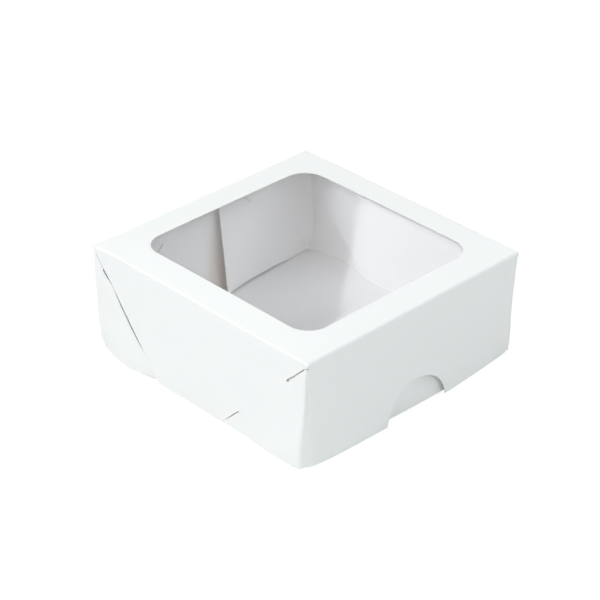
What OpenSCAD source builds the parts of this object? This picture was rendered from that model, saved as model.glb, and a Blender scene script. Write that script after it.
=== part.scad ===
// Square window box folded and glued from one sheet of white carton board.
// The lid swings on the fold along the top of the back wall.
// Units are millimetres. +X is the front with the thumb notch, -X the hinge side,
// -Y the left side, +Y the right side and +Z up.
// The origin is on the table under the middle of the closed lid.

/* [Box] */
// Length of the closed lid from hinge to front, at the top
box_length = 130; // [100:1:200]
// Width over the side flaps of the lid
box_width = 127; // [100:1:200]
// Height from the table to the edges of the lid
box_height = 50; // [44:1:70]
// How far each end wall leans in at its foot
end_lean = 2.85; // [0:0.05:5]
// How far the sprung lid would rise over its edges in the middle, had it no window
lid_crown = 4.3; // [2:0.1:6]

/* [Board] */
// Thickness of the carton board
board = 0.5; // [0.35:0.05:0.7]
// Inner radius of the folds
fold_radius = 0.5; // [0.4:0.05:0.8]
// Running gap between the flaps of the lid and the tray
lid_gap = 0.35; // [0.3:0.05:1]
// Gap between the walls of the tray and the panel of the lid
wall_top_gap = 0.6; // [0.5:0.05:1.5]
// Height of the lid's flaps above the table
flap_lift = 0.5; // [0.3:0.1:2]
// Thickness of the glue
glue = 0.05; // [0.03:0.01:0.1]
// Gap between the hinge fold and the back wall below it
hinge_gap = 0.15; // [0.1:0.01:0.3]

/* [Window] */
// Board left between the window and the edges of the lid
window_margin = 14; // [12:0.5:25]
// Corner radius of the window
window_corner = 10.5; // [5:0.5:20]
// Thickness of the clear film
film = 0.15; // [0.1:0.05:0.3]
// How far the film reaches past the window on each side
film_overlap = 7; // [4:0.5:8]

/* [Front flap] */
// Radius of the thumb notch
notch_radius = 19; // [12:0.5:24]
// Height of the thumb notch above the lower edge of the flap
notch_height = 15.5; // [8:0.5:20]
// How far the notch sits to the right of the middle
notch_shift = 1.5; // [-5:0.5:5]
// How far the lower edge of the flap bows out at most
flap_bow = 4.6; // [2:0.1:7]
// Length of the glue tabs behind the flap
tab_length = 15; // [8:1:25]

/* [Side flaps] */
// Drop from the lid's top to where the slanted end starts
slant_drop = 8; // [4:0.5:12]
// Distance from the hinge edge to where the slanted end starts
slant_start = 3.7; // [3:0.1:8]
// Distance from the hinge edge to the foot of the slanted end
slant_foot = 38.8; // [20:0.5:50]
// Width of the die-cut slits
slit = 0.5; // [0.3:0.05:1]
// Width of the opened lower end of the upper slit
slit_mouth = 1.1; // [0.8:0.1:2]
// Length of the upper slit of the corner diagonal
slit_upper = 13.5; // [8:0.5:20]
// Height of the lower slit of the corner diagonal
slit_lower = 9.5; // [4:0.5:15]

/* [Tray corner flaps] */
// Distance from the middle of an end wall to the free end of a short flap
flap_clear = 6.7; // [2:0.1:15]
// How far the long flap at the back left reaches behind the end of the sprung one
flap_lap = 5.6; // [2:0.1:12]
// Height of the flap's diagonal fold above the table at the corner
diagonal_rise = 2.5; // [2:0.1:5]
// Height of the slit at the upper end of a short flap's diagonal fold
short_slit = 9; // [4:0.5:18]
// Height of the slit in the long flap's diagonal fold
long_slit = 13; // [6:0.5:18]
// Distance from the top of the tray down to the long flap's slit
long_slit_drop = 11; // [4:0.5:15]
// How far the flap at the back right springs in about its diagonal fold
spring_angle = 6.2; // [4:0.1:8]
// Gap between the sprung flap and the long flap behind it
spring_gap = 0.1; // [0.05:0.05:0.5]

/* [Hidden] */
$fn = 64;

BOARD_WHITE = [0.95, 0.96, 0.955];
FILM_CLEAR = [0.8, 0.87, 0.92, 0.35];
GLUE_CLOUDY = [0.9, 0.9, 0.84];

// Sides of the box, as signs along X and Y
BACK = -1;
FRONT = 1;
LEFT = -1;
RIGHT = 1;

lean = atan(end_lean / box_height);
fold_out = fold_radius + board;
foot_x = box_length / 2 - end_lean;
// Outer half width of the tray, inside the flaps of the lid
tray_y = box_width / 2 - board - lid_gap;
tray_top = box_height - board - wall_top_gap;
// Depth of each layer at an end, inward from the outer face of the lid's front flap
back_depth = 0;
front_depth = 2 * board + glue + lid_gap;
flap_foot = fold_out + lid_gap;
flap_short = tray_y - fold_out - flap_clear;
flap_long = tray_y - fold_out + flap_clear + flap_lap;
// Cuts run past the face that they open
overrun = board;

// The hinge axis lies in the middle of the board at the top of the back wall
bead_r = board / 2;
hinge_x = -end_x(bead_r, box_height - bead_r);
hinge_z = box_height - bead_r;

lid_y = box_width / 2 - fold_out;
lid_fold_z = box_height - fold_out;
lid_back_x = hinge_x + board;
lid_front_x = end_x(fold_out, lid_fold_z);

lid_mid_x = (lid_back_x + lid_front_x) / 2;
lid_half_x = (lid_front_x - lid_back_x) / 2;
window_half_x = box_length / 2 - window_margin;
window_half_y = box_width / 2 - window_margin;
// Facets of the crowned lid along each side, closer towards its edges
lid_cells = 16;
// Powers that shape the crown of the lid, and how flat the film is drawn across the window
crown_share = 4;
film_flat_share = 2.4;

// The diagonal fold of a side flap runs at 45 degrees down from the lid's front corner
diagonal_x = box_length / 2 - lid_fold_z;
// Where it leaves the side flap, at the upright corner fold
tab_depth = board + glue;
gusset_top_x = end_x(tab_depth + fold_out, lid_fold_z);
gusset_top_z = (gusset_top_x - diagonal_x - lid_fold_z * tan(lean)) / (1 - tan(lean));

// Facets of the bowed front flap, across it and down it
flap_columns = 40;
flap_rows = 8;
flap_foot_z = end_z(0, flap_lift);
flap_head_z = end_z(fold_out, lid_fold_z);
// Powers that shape the bow of the front flap: it opens at once at the left corner,
// closes gently towards the right one and grows down the flap
bow_rise_share = 0.2;
bow_fall_share = 2.4;
bow_drop_share = 1.2;
// Height of the bow's curve before it is scaled to the named bow
bow_peak_share = pow(bow_rise_share / (bow_rise_share + bow_fall_share), bow_rise_share / bow_fall_share)
    * bow_fall_share / (bow_rise_share + bow_fall_share);

// Shares of a short flap's length and of the box's height that a glue spot covers,
// and of the height where the spot on a gusset starts
glue_length_share = 0.3;
glue_height_share = 0.2;
glue_gusset_share = 0.6;
// Shares of a tab's length and of the box's height that its glue spot covers
tab_glue_share = 0.75;
tab_glue_foot_share = 0.25;
tab_glue_head_share = 0.75;
// Shares of the upper diagonal slit where it starts to open and where its spur is
slit_open_share = 0.65;
slit_spur_share = 0.6;
spur_angle = 60;

// Distance from the middle to a layer of an end wall, at a height above the table
function end_x(depth, z) = foot_x - depth / cos(lean) + z * tan(lean);

// Height along a leaning end wall, for a height above the table
function end_z(depth, z) = (z - depth * sin(lean)) / cos(lean);

// How far the front flap bows out at a place across it and a height up its face
function bow(y, z) =
    let (across = (y + lid_y) / (2 * lid_y))
    flap_bow / bow_peak_share
    * pow(across, bow_rise_share) * (1 - pow(across, bow_fall_share))
    * pow(1 - z / flap_head_z, bow_drop_share);

// How far a place on the lid, as shares of its half length and half width, rises over the edges
function crown(u, v) = lid_crown * (1 - pow(abs(u), crown_share)) * (1 - pow(abs(v), crown_share));

// How far the film stays below the line of the crown there, drawn flat across the window
function film_drop(u, v) =
    film_flat_share * lid_crown
    * max(0, pow(window_half_x / lid_half_x, crown_share) - pow(abs(u), crown_share))
    * max(0, pow(window_half_y / lid_y, crown_share) - pow(abs(v), crown_share));

// Puts a piece drawn in an end wall's own frame in its place:
// x runs inward from the outer face and z up along it.
module at_end(end) {
    mirror([end == FRONT ? 1 : 0, 0, 0])
        translate([-foot_x, 0, 0])
            rotate([0, -lean, 0])
                children();
}

// Puts a piece drawn for the left side on either side
module at_side(side) {
    mirror([0, side == RIGHT ? 1 : 0, 0])
        children();
}

// An outline in Y and Z, made a plate that faces X
module end_plate(depth, thickness = board) {
    translate([depth, 0, 0])
        rotate([90, 0, 90])
            linear_extrude(thickness)
                children();
}

// An outline in X and Z, made a plate that faces Y, with its outer face at y = -outer
module side_plate(outer) {
    translate([0, board - outer, 0])
        rotate([90, 0, 0])
            linear_extrude(board)
                children();
}

// Cross-section of a fold between two directions of its outer face
module fold_section(from, to) {
    reach = 2 * fold_out;
    intersection() {
        difference() {
            circle(fold_out);
            circle(fold_radius);
        }
        polygon(concat(
            [[0, 0]],
            [for (k = [0:4]) let (a = from + (to - from) * k / 4) [reach * cos(a), reach * sin(a)]]
        ));
    }
}

// A fold that runs across the box along Y
module fold_y(x, z, half, from, to) {
    translate([x, half, z])
        rotate([90, 0, 0])
            linear_extrude(2 * half)
                fold_section(from, to);
}

// A fold that runs along X, on the left side
module fold_x(x_from, x_to, y, z, from, to) {
    translate([x_from, -y, z])
        rotate([90, 0, 90])
            linear_extrude(x_to - x_from)
                fold_section(from, to);
}

// A fold up the left corner of an end, in the end's own frame
module corner_fold(depth, y, z_from, z_to) {
    translate([depth + fold_out, -y, z_from])
        linear_extrude(z_to - z_from)
            fold_section(180, 270);
}

// Floor of the tray
module floor_panel() {
    color(BOARD_WHITE)
        translate([-end_x(back_depth + fold_out, fold_out), fold_out - tray_y, 0])
            cube([
                end_x(back_depth + fold_out, fold_out) + end_x(front_depth + fold_out, fold_out),
                2 * (tray_y - fold_out),
                board
            ]);
}

// End wall of the tray up to a height along its face
module end_wall(end, depth, top) {
    foot = end_z(depth + fold_out, fold_out);
    color(BOARD_WHITE)
        at_end(end)
            translate([depth, -tray_y, foot])
                cube([board, 2 * tray_y, top - foot]);
}

module back_wall() {
    end_wall(BACK, back_depth, end_z(bead_r, hinge_z) - bead_r - hinge_gap);
}

module front_wall() {
    end_wall(FRONT, front_depth, end_z(front_depth, tray_top));
}

// Side wall of the tray between the corner folds of its two ends
module tray_side_wall(side) {
    back = back_depth + board + glue + fold_out;
    front = front_depth + board + glue + fold_out;
    color(BOARD_WHITE)
        at_side(side)
            side_plate(tray_y)
                polygon([
                    [-end_x(back, fold_out), fold_out],
                    [end_x(front, fold_out), fold_out],
                    [end_x(front, tray_top), tray_top],
                    [-end_x(back, tray_top), tray_top]
                ]);
}

module left_wall() {
    tray_side_wall(LEFT);
}

module right_wall() {
    tray_side_wall(RIGHT);
}

module floor_back_crease() {
    color(BOARD_WHITE)
        fold_y(-end_x(back_depth + fold_out, fold_out), fold_out, tray_y - fold_out, 180 + lean, 270);
}

module floor_front_crease() {
    color(BOARD_WHITE)
        fold_y(end_x(front_depth + fold_out, fold_out), fold_out, tray_y - fold_out, -90, -lean);
}

// Fold between the floor and a side wall
module floor_side_crease(side) {
    color(BOARD_WHITE)
        at_side(side)
            fold_x(
                -end_x(back_depth + board + glue + fold_out, fold_out),
                end_x(front_depth + board + glue + fold_out, fold_out),
                tray_y - fold_out, fold_out, 180, 270
            );
}

module floor_left_crease() {
    floor_side_crease(LEFT);
}

module floor_right_crease() {
    floor_side_crease(RIGHT);
}

// Depth of the outer face of the corner flaps at an end of the tray
function flap_depth(end) = (end == BACK ? back_depth : front_depth) + board + glue;

// Upright fold between a side wall and its corner flap
module tray_corner_crease(end, side) {
    depth = flap_depth(end);
    color(BOARD_WHITE)
        at_end(end)
            at_side(side)
                corner_fold(
                    depth, tray_y - fold_out,
                    end_z(depth + fold_out, flap_foot), end_z(depth, tray_top)
                );
}

module back_left_corner_crease() {
    tray_corner_crease(BACK, LEFT);
}

module back_right_corner_crease() {
    tray_corner_crease(BACK, RIGHT);
}

module front_left_corner_crease() {
    tray_corner_crease(FRONT, LEFT);
}

module front_right_corner_crease() {
    tray_corner_crease(FRONT, RIGHT);
}

// Slit along the diagonal fold of a corner flap, with a round stop at each end.
// The place is measured from the corner fold, and the heights are above the foot of the wall.
module flap_slit(z_from, z_to) {
    translate([z_from - diagonal_rise, z_from])
        rotate(45) {
            translate([0, -slit / 2])
                square([(z_to - z_from) * sqrt(2), slit]);
            circle(slit);
            translate([(z_to - z_from) * sqrt(2), 0])
                circle(slit);
        }
}

// Triangle of a corner flap above its diagonal fold
module gusset_outline(length, top, slit_from, slit_to) {
    difference() {
        intersection() {
            polygon([[0, diagonal_rise], [top - diagonal_rise, top], [0, top]]);
            square([length, top]);
        }
        flap_slit(slit_from, slit_to);
    }
}

// Rest of a corner flap, below its diagonal fold and on to its free end
module flap_outline(length, foot, top, slit_from, slit_to) {
    reach = length + top;
    difference() {
        intersection() {
            polygon([
                [0, diagonal_rise],
                [diagonal_rise, foot],
                [reach, foot],
                [reach, reach + diagonal_rise]
            ]);
            square([length, top]);
        }
        flap_slit(slit_from, slit_to);
    }
}

// Places the outline of a corner flap along the inside of an end wall
module on_corner(end, side) {
    color(BOARD_WHITE)
        at_end(end)
            at_side(side)
                translate([0, fold_out - tray_y, 0])
                    children();
}

// Heights where the slit in a corner flap's diagonal fold starts and ends
function slit_span(end, side, top) =
    end == BACK && side == LEFT
    ? [top - long_slit_drop - long_slit, top - long_slit_drop]
    : [top - short_slit, top + overrun];

module corner_gusset(end, side) {
    depth = flap_depth(end);
    length = end == BACK && side == LEFT ? flap_long : flap_short;
    top = end_z(depth, tray_top);
    span = slit_span(end, side, top);
    on_corner(end, side)
        end_plate(depth)
            gusset_outline(length, top, span[0], span[1]);
}

// Corner flap, swung in about its diagonal fold by an angle.
// Its free end is cut off where length and height together pass the limit.
module corner_flap(end, side, length, swing = 0, limit = box_width + box_height) {
    depth = flap_depth(end);
    top = end_z(depth, tray_top);
    span = slit_span(end, side, top);
    on_corner(end, side)
        translate([depth + board, 0, diagonal_rise])
            rotate(a = -swing, v = [0, 1, 1])
                translate([-depth - board, 0, -diagonal_rise])
                    end_plate(depth)
                        intersection() {
                            flap_outline(length, end_z(depth + board, flap_foot), top, span[0], span[1]);
                            polygon([[0, 0], [limit, 0], [0, limit]]);
                        }
}

module back_left_gusset() {
    corner_gusset(BACK, LEFT);
}

module back_right_gusset() {
    corner_gusset(BACK, RIGHT);
}

module front_left_gusset() {
    corner_gusset(FRONT, LEFT);
}

module front_right_gusset() {
    corner_gusset(FRONT, RIGHT);
}

// The long flap keeps to the side of the sprung flap's diagonal where there is room behind it
module back_left_flap() {
    room = (board + spring_gap) / sin(spring_angle) * sqrt(2);
    corner_flap(BACK, LEFT, flap_long, limit = 2 * (tray_y - fold_out) + diagonal_rise - room);
}

module back_right_flap() {
    corner_flap(BACK, RIGHT, flap_short, spring_angle);
}

module front_left_flap() {
    corner_flap(FRONT, LEFT, flap_short);
}

module front_right_flap() {
    corner_flap(FRONT, RIGHT, flap_short);
}

// Glue between a corner flap or gusset and the end wall behind it
module corner_glue(end, side, y, z) {
    at_end(end)
        at_side(side)
            translate([flap_depth(end) - glue, fold_out - tray_y + y, z])
                cube([glue, flap_short * glue_length_share, box_height * glue_height_share]);
}

module tray_glue_spots() {
    low = flap_foot + diagonal_rise;
    color(GLUE_CLOUDY) {
        corner_glue(BACK, LEFT, flap_short / 2, low);
        corner_glue(FRONT, LEFT, flap_short / 2, low);
        corner_glue(FRONT, RIGHT, flap_short / 2, low);
        corner_glue(BACK, RIGHT, diagonal_rise, box_height * glue_gusset_share);
    }
}

// The way round the rim of a grid of points, which count on along its rows
function sheet_rim(columns, rows) = concat(
    [for (i = [0:columns - 1]) i * (rows + 1)],
    [for (j = [0:rows - 1]) columns * (rows + 1) + j],
    [for (i = [columns:-1:1]) i * (rows + 1) + rows],
    [for (j = [rows:-1:1]) j]
);

// Faces of a sheet from those of its outer side, the points on that side and its rim
function sheet_faces(outer, count, rim) = concat(
    outer,
    [for (f = outer) [f[2] + count, f[1] + count, f[0] + count]],
    [
        for (k = [0:len(rim) - 1])
            let (a = rim[k], b = rim[(k + 1) % len(rim)])
                [a, b, b + count, a + count]
    ]
);

// Upright block with the window's outline, grown by a margin all round
module window_block(grow) {
    x = window_half_x + grow;
    y = window_half_y + grow;
    r = window_corner + grow;
    translate([0, 0, tray_top])
        linear_extrude(box_height - tray_top + lid_crown + overrun)
            union() {
                square([2 * x, 2 * (y - r)], center = true);
                square([2 * (x - r), 2 * y], center = true);
                for (side_x = [BACK, FRONT])
                    for (side_y = [LEFT, RIGHT])
                        translate([side_x * (x - r), side_y * (y - r)])
                            circle(r);
            }
}

// A sheet that follows the crowned lid, with its top at a depth below the lid's.
// All such sheets share one grid of facets, and a drawn one is flat across the window.
module crowned_sheet(depth, thickness, drawn = false) {
    count = (lid_cells + 1) * (lid_cells + 1);
    function at(i, j) = i * (lid_cells + 1) + j;
    function place(i, j, d) = let (
        u = -cos(180 * i / lid_cells),
        v = -cos(180 * j / lid_cells),
        rise = crown(u, v) - (drawn ? film_drop(u, v) : 0)
    ) [lid_mid_x + lid_half_x * u, lid_y * v, box_height - d + rise];
    points = [
        for (d = [depth, depth + thickness])
            for (i = [0:lid_cells])
                for (j = [0:lid_cells])
                    place(i, j, d)
    ];
    upper = [
        for (i = [0:lid_cells - 1])
            for (j = [0:lid_cells - 1])
                for (face = [
                    [at(i, j), at(i, j + 1), at(i + 1, j + 1)],
                    [at(i, j), at(i + 1, j + 1), at(i + 1, j)]
                ])
                    face
    ];
    polyhedron(points, sheet_faces(upper, count, sheet_rim(lid_cells, lid_cells)), convexity = 4);
}

// Top of the lid with its window
module lid_panel() {
    color(BOARD_WHITE)
        difference() {
            crowned_sheet(0, board);
            window_block(0);
        }
}

// Fold that carries the lid, round about the hinge axis
module hinge_crease() {
    color(BOARD_WHITE)
        translate([hinge_x, lid_y, hinge_z])
            rotate([90, 0, 0])
                linear_extrude(2 * lid_y)
                    union() {
                        circle(bead_r);
                        translate([0, -bead_r])
                            square([board, board]);
                    }
}

// Clear film behind the window
module window_film() {
    color(FILM_CLEAR)
        intersection() {
            crowned_sheet(board + glue, film, drawn = true);
            window_block(film_overlap);
        }
}

// Ring of glue between the film and the lid
module film_glue_ring() {
    color(GLUE_CLOUDY)
        intersection() {
            crowned_sheet(board, glue);
            difference() {
                window_block(film_overlap);
                window_block(film_overlap / 2);
            }
        }
}

module lid_front_crease() {
    color(BOARD_WHITE)
        fold_y(lid_front_x, lid_fold_z, lid_y, -lean, 90);
}

// A sheet that follows the bowed front flap over its whole width, in the front's own frame,
// at a depth from the flap's outer face. All such sheets share one grid of facets too.
module bowed_sheet(depth, thickness) {
    count = (flap_columns + 1) * (flap_rows + 1);
    function at(i, j) = i * (flap_rows + 1) + j;
    function place(i, j, d) = let (
        y = lid_y * (2 * i / flap_columns - 1),
        z = flap_foot_z + (flap_head_z - flap_foot_z) * j / flap_rows
    ) [d - bow(y, z), y, z];
    points = [
        for (d = [depth, depth + thickness])
            for (i = [0:flap_columns])
                for (j = [0:flap_rows])
                    place(i, j, d)
    ];
    outer = [
        for (i = [0:flap_columns - 1])
            for (j = [0:flap_rows - 1])
                for (face = [
                    [at(i, j), at(i, j + 1), at(i + 1, j + 1)],
                    [at(i, j), at(i + 1, j + 1), at(i + 1, j)]
                ])
                    face
    ];
    polyhedron(points, sheet_faces(outer, count, sheet_rim(flap_columns, flap_rows)), convexity = 4);
}

// Front flap of the lid, bowed out along its lower edge and notched for a thumb
module lid_front_flap() {
    notch_z = flap_lift + notch_height - notch_radius;
    color(BOARD_WHITE)
        at_end(FRONT)
            difference() {
                bowed_sheet(0, board);
                translate([-flap_bow - overrun, notch_shift, notch_z])
                    rotate([0, 90, 0])
                        cylinder(r = notch_radius, h = flap_bow + board + 2 * overrun);
            }
}

// Fold between the top of the lid and a side flap
module lid_side_crease(side) {
    color(BOARD_WHITE)
        at_side(side)
            fold_x(lid_back_x, lid_front_x, lid_y, lid_fold_z, 90, 180);
}

module lid_left_crease() {
    lid_side_crease(LEFT);
}

module lid_right_crease() {
    lid_side_crease(RIGHT);
}

// Slits at both ends of the diagonal fold of a side flap.
// The upper one opens towards its lower end and has a short spur.
module diagonal_slits() {
    translate([diagonal_x + gusset_top_z, gusset_top_z])
        rotate(225) {
            polygon([
                [-2 * overrun, -slit / 2],
                [slit_upper * slit_open_share, -slit / 2],
                [slit_upper, -slit_mouth / 2],
                [slit_upper + slit_mouth / 2, 0],
                [slit_upper, slit_mouth / 2],
                [slit_upper * slit_open_share, slit / 2],
                [-2 * overrun, slit / 2]
            ]);
            translate([slit_upper * slit_spur_share, 0])
                rotate(spur_angle)
                    translate([0, -slit / 4])
                        square([slit_mouth, slit / 2]);
        }
    translate([diagonal_x - overrun, -overrun])
        rotate(45)
            translate([0, -slit / 2])
                square([(slit_lower + overrun) * sqrt(2), slit]);
}

// Side flap of the lid, from its slanted free end to the diagonal fold at the front corner
module lid_side_flap(side) {
    color(BOARD_WHITE)
        at_side(side)
            side_plate(box_width / 2)
                difference() {
                    polygon([
                        [lid_back_x + board, lid_fold_z],
                        [-box_length / 2 + slant_start, box_height - slant_drop],
                        [-box_length / 2 + slant_foot, flap_lift],
                        [diagonal_x + flap_lift, flap_lift],
                        [diagonal_x + gusset_top_z, gusset_top_z],
                        [gusset_top_x, lid_fold_z]
                    ]);
                    diagonal_slits();
                }
}

module lid_left_flap() {
    lid_side_flap(LEFT);
}

module lid_right_flap() {
    lid_side_flap(RIGHT);
}

// Corner triangle of a side flap, in front of the diagonal fold
module lid_gusset(side) {
    color(BOARD_WHITE)
        at_side(side)
            side_plate(box_width / 2)
                difference() {
                    polygon([
                        [diagonal_x + flap_lift, flap_lift],
                        [end_x(tab_depth + fold_out, flap_lift), flap_lift],
                        [diagonal_x + gusset_top_z, gusset_top_z]
                    ]);
                    diagonal_slits();
                }
}

module lid_left_gusset() {
    lid_gusset(LEFT);
}

module lid_right_gusset() {
    lid_gusset(RIGHT);
}

// Upright fold between a side flap and its glue tab
module lid_corner_crease(side) {
    color(BOARD_WHITE)
        at_end(FRONT)
            at_side(side)
                corner_fold(
                    tab_depth, lid_y,
                    end_z(tab_depth + fold_out, flap_lift),
                    end_z(tab_depth + fold_out, gusset_top_z)
                );
}

module lid_left_corner_crease() {
    lid_corner_crease(LEFT);
}

module lid_right_corner_crease() {
    lid_corner_crease(RIGHT);
}

// A piece of a bowed sheet at one end of the front flap, from the corner fold inward
// and between two heights
module behind_flap(side, depth, thickness, length, z) {
    at_end(FRONT)
        intersection() {
            bowed_sheet(depth, thickness);
            at_side(side)
                translate([-flap_bow, -lid_y, z[0]])
                    cube([flap_bow + depth + thickness + overrun, length, z[1] - z[0]]);
        }
}

// Tab that is glued behind the front flap
module lid_glue_tab(side) {
    color(BOARD_WHITE)
        behind_flap(
            side, tab_depth, board, tab_length,
            [end_z(tab_depth + fold_out, flap_lift), end_z(tab_depth + fold_out, gusset_top_z)]
        );
}

module lid_left_glue_tab() {
    lid_glue_tab(LEFT);
}

module lid_right_glue_tab() {
    lid_glue_tab(RIGHT);
}

module lid_glue_spots() {
    color(GLUE_CLOUDY)
        for (side = [LEFT, RIGHT])
            behind_flap(
                side, board, glue, tab_length * tab_glue_share,
                [box_height * tab_glue_foot_share, box_height * tab_glue_head_share]
            );
}

floor_panel();
back_wall();
front_wall();
left_wall();
right_wall();
floor_back_crease();
floor_front_crease();
floor_left_crease();
floor_right_crease();
back_left_corner_crease();
back_right_corner_crease();
front_left_corner_crease();
front_right_corner_crease();
back_left_gusset();
back_right_gusset();
front_left_gusset();
front_right_gusset();
back_left_flap();
back_right_flap();
front_left_flap();
front_right_flap();
tray_glue_spots();
lid_panel();
hinge_crease();
window_film();
film_glue_ring();
lid_front_flap();
lid_front_crease();
lid_left_flap();
lid_right_flap();
lid_left_crease();
lid_right_crease();
lid_left_gusset();
lid_right_gusset();
lid_left_corner_crease();
lid_right_corner_crease();
lid_left_glue_tab();
lid_right_glue_tab();
lid_glue_spots();
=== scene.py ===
"""White folding carton with a film window in its hinged lid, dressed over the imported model.

Every panel and fold of the board is cut from a flat outline, given its thickness and bent into
its place, so that the closed box has the crowned lid and the bowed front flap of sprung board.
"""

import logging
import math
from collections import defaultdict
from dataclasses import dataclass, replace
from enum import Enum
from typing import Any, Callable, Mapping, Sequence, Union

import bmesh
import bpy
from mathutils import Matrix, Vector


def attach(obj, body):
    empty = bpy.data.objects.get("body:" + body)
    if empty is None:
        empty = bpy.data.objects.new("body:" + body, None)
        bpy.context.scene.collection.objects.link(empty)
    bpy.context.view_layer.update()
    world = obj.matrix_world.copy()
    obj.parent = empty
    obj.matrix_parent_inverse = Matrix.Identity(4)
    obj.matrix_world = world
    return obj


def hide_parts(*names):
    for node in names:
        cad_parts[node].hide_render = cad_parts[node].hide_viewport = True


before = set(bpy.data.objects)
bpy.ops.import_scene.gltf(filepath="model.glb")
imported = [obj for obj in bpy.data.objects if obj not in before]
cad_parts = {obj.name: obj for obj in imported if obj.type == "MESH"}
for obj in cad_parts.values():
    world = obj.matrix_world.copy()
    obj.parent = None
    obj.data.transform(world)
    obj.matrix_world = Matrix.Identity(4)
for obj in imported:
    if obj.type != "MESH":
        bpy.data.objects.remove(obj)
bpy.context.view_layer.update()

MM = 0.001
FOLD_ROWS = 8

LOG = logging.getLogger("carton")

Point = tuple[float, float]
Outline = list[Point]
Place = Callable[[float, float, float], Vector]
Value = Union[float, tuple, "Signal", bpy.types.NodeSocket]


class Way(Enum):
    """A direction, as a sign along its axis."""

    @property
    def word(self) -> str:
        """The direction as the pieces' names have it."""
        return self.name.lower()


class End(Way):
    """Ends of the box, along X."""

    BACK = -1
    FRONT = 1


class Side(Way):
    """Sides of the box, along Y."""

    LEFT = -1
    RIGHT = 1


class Body(Enum):
    """Bodies that the pieces ride on."""

    TRAY = "tray"
    LID = "lid"


class Slot(Enum):
    """Material slots of the record."""

    BOARD = "board"
    FILM = "film"
    GLUE = "glue"


class Skin(Enum):
    """Faces of a sheet, as its material slots."""

    OUTSIDE = 0
    INSIDE = 1
    CUT = 2


def clamp(value: float) -> float:
    """The value, kept from 0 to 1."""
    return min(1.0, max(0.0, value))


def fade(value: float) -> float:
    """What the value leaves of 1, and 0 where it is more than 1."""
    return max(0.0, 1 - value)


def smooth(value: float, low: float, high: float) -> float:
    """A smooth rise from 0 at the low value to 1 at the high one."""
    share = clamp((value - low) / (high - low))
    return share * share * (3 - 2 * share)


def spread(low: float, high: float, steps: int) -> list[float]:
    """Evenly spaced values from low to high, both included."""
    return [low + (high - low) * k / steps for k in range(steps + 1)]


def oblong(left: float, right: float, low: float, high: float) -> Outline:
    """The outline of an oblong."""
    return [(left, low), (right, low), (right, high), (left, high)]


def arc(centre: Point, radius: float, start: float, end: float, steps: int) -> Outline:
    """Points along an arc, with its angles in degrees and both its ends included."""
    angles = [math.radians(angle) for angle in spread(start, end, steps)]
    return [(centre[0] + radius * math.cos(a), centre[1] + radius * math.sin(a)) for a in angles]


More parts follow.
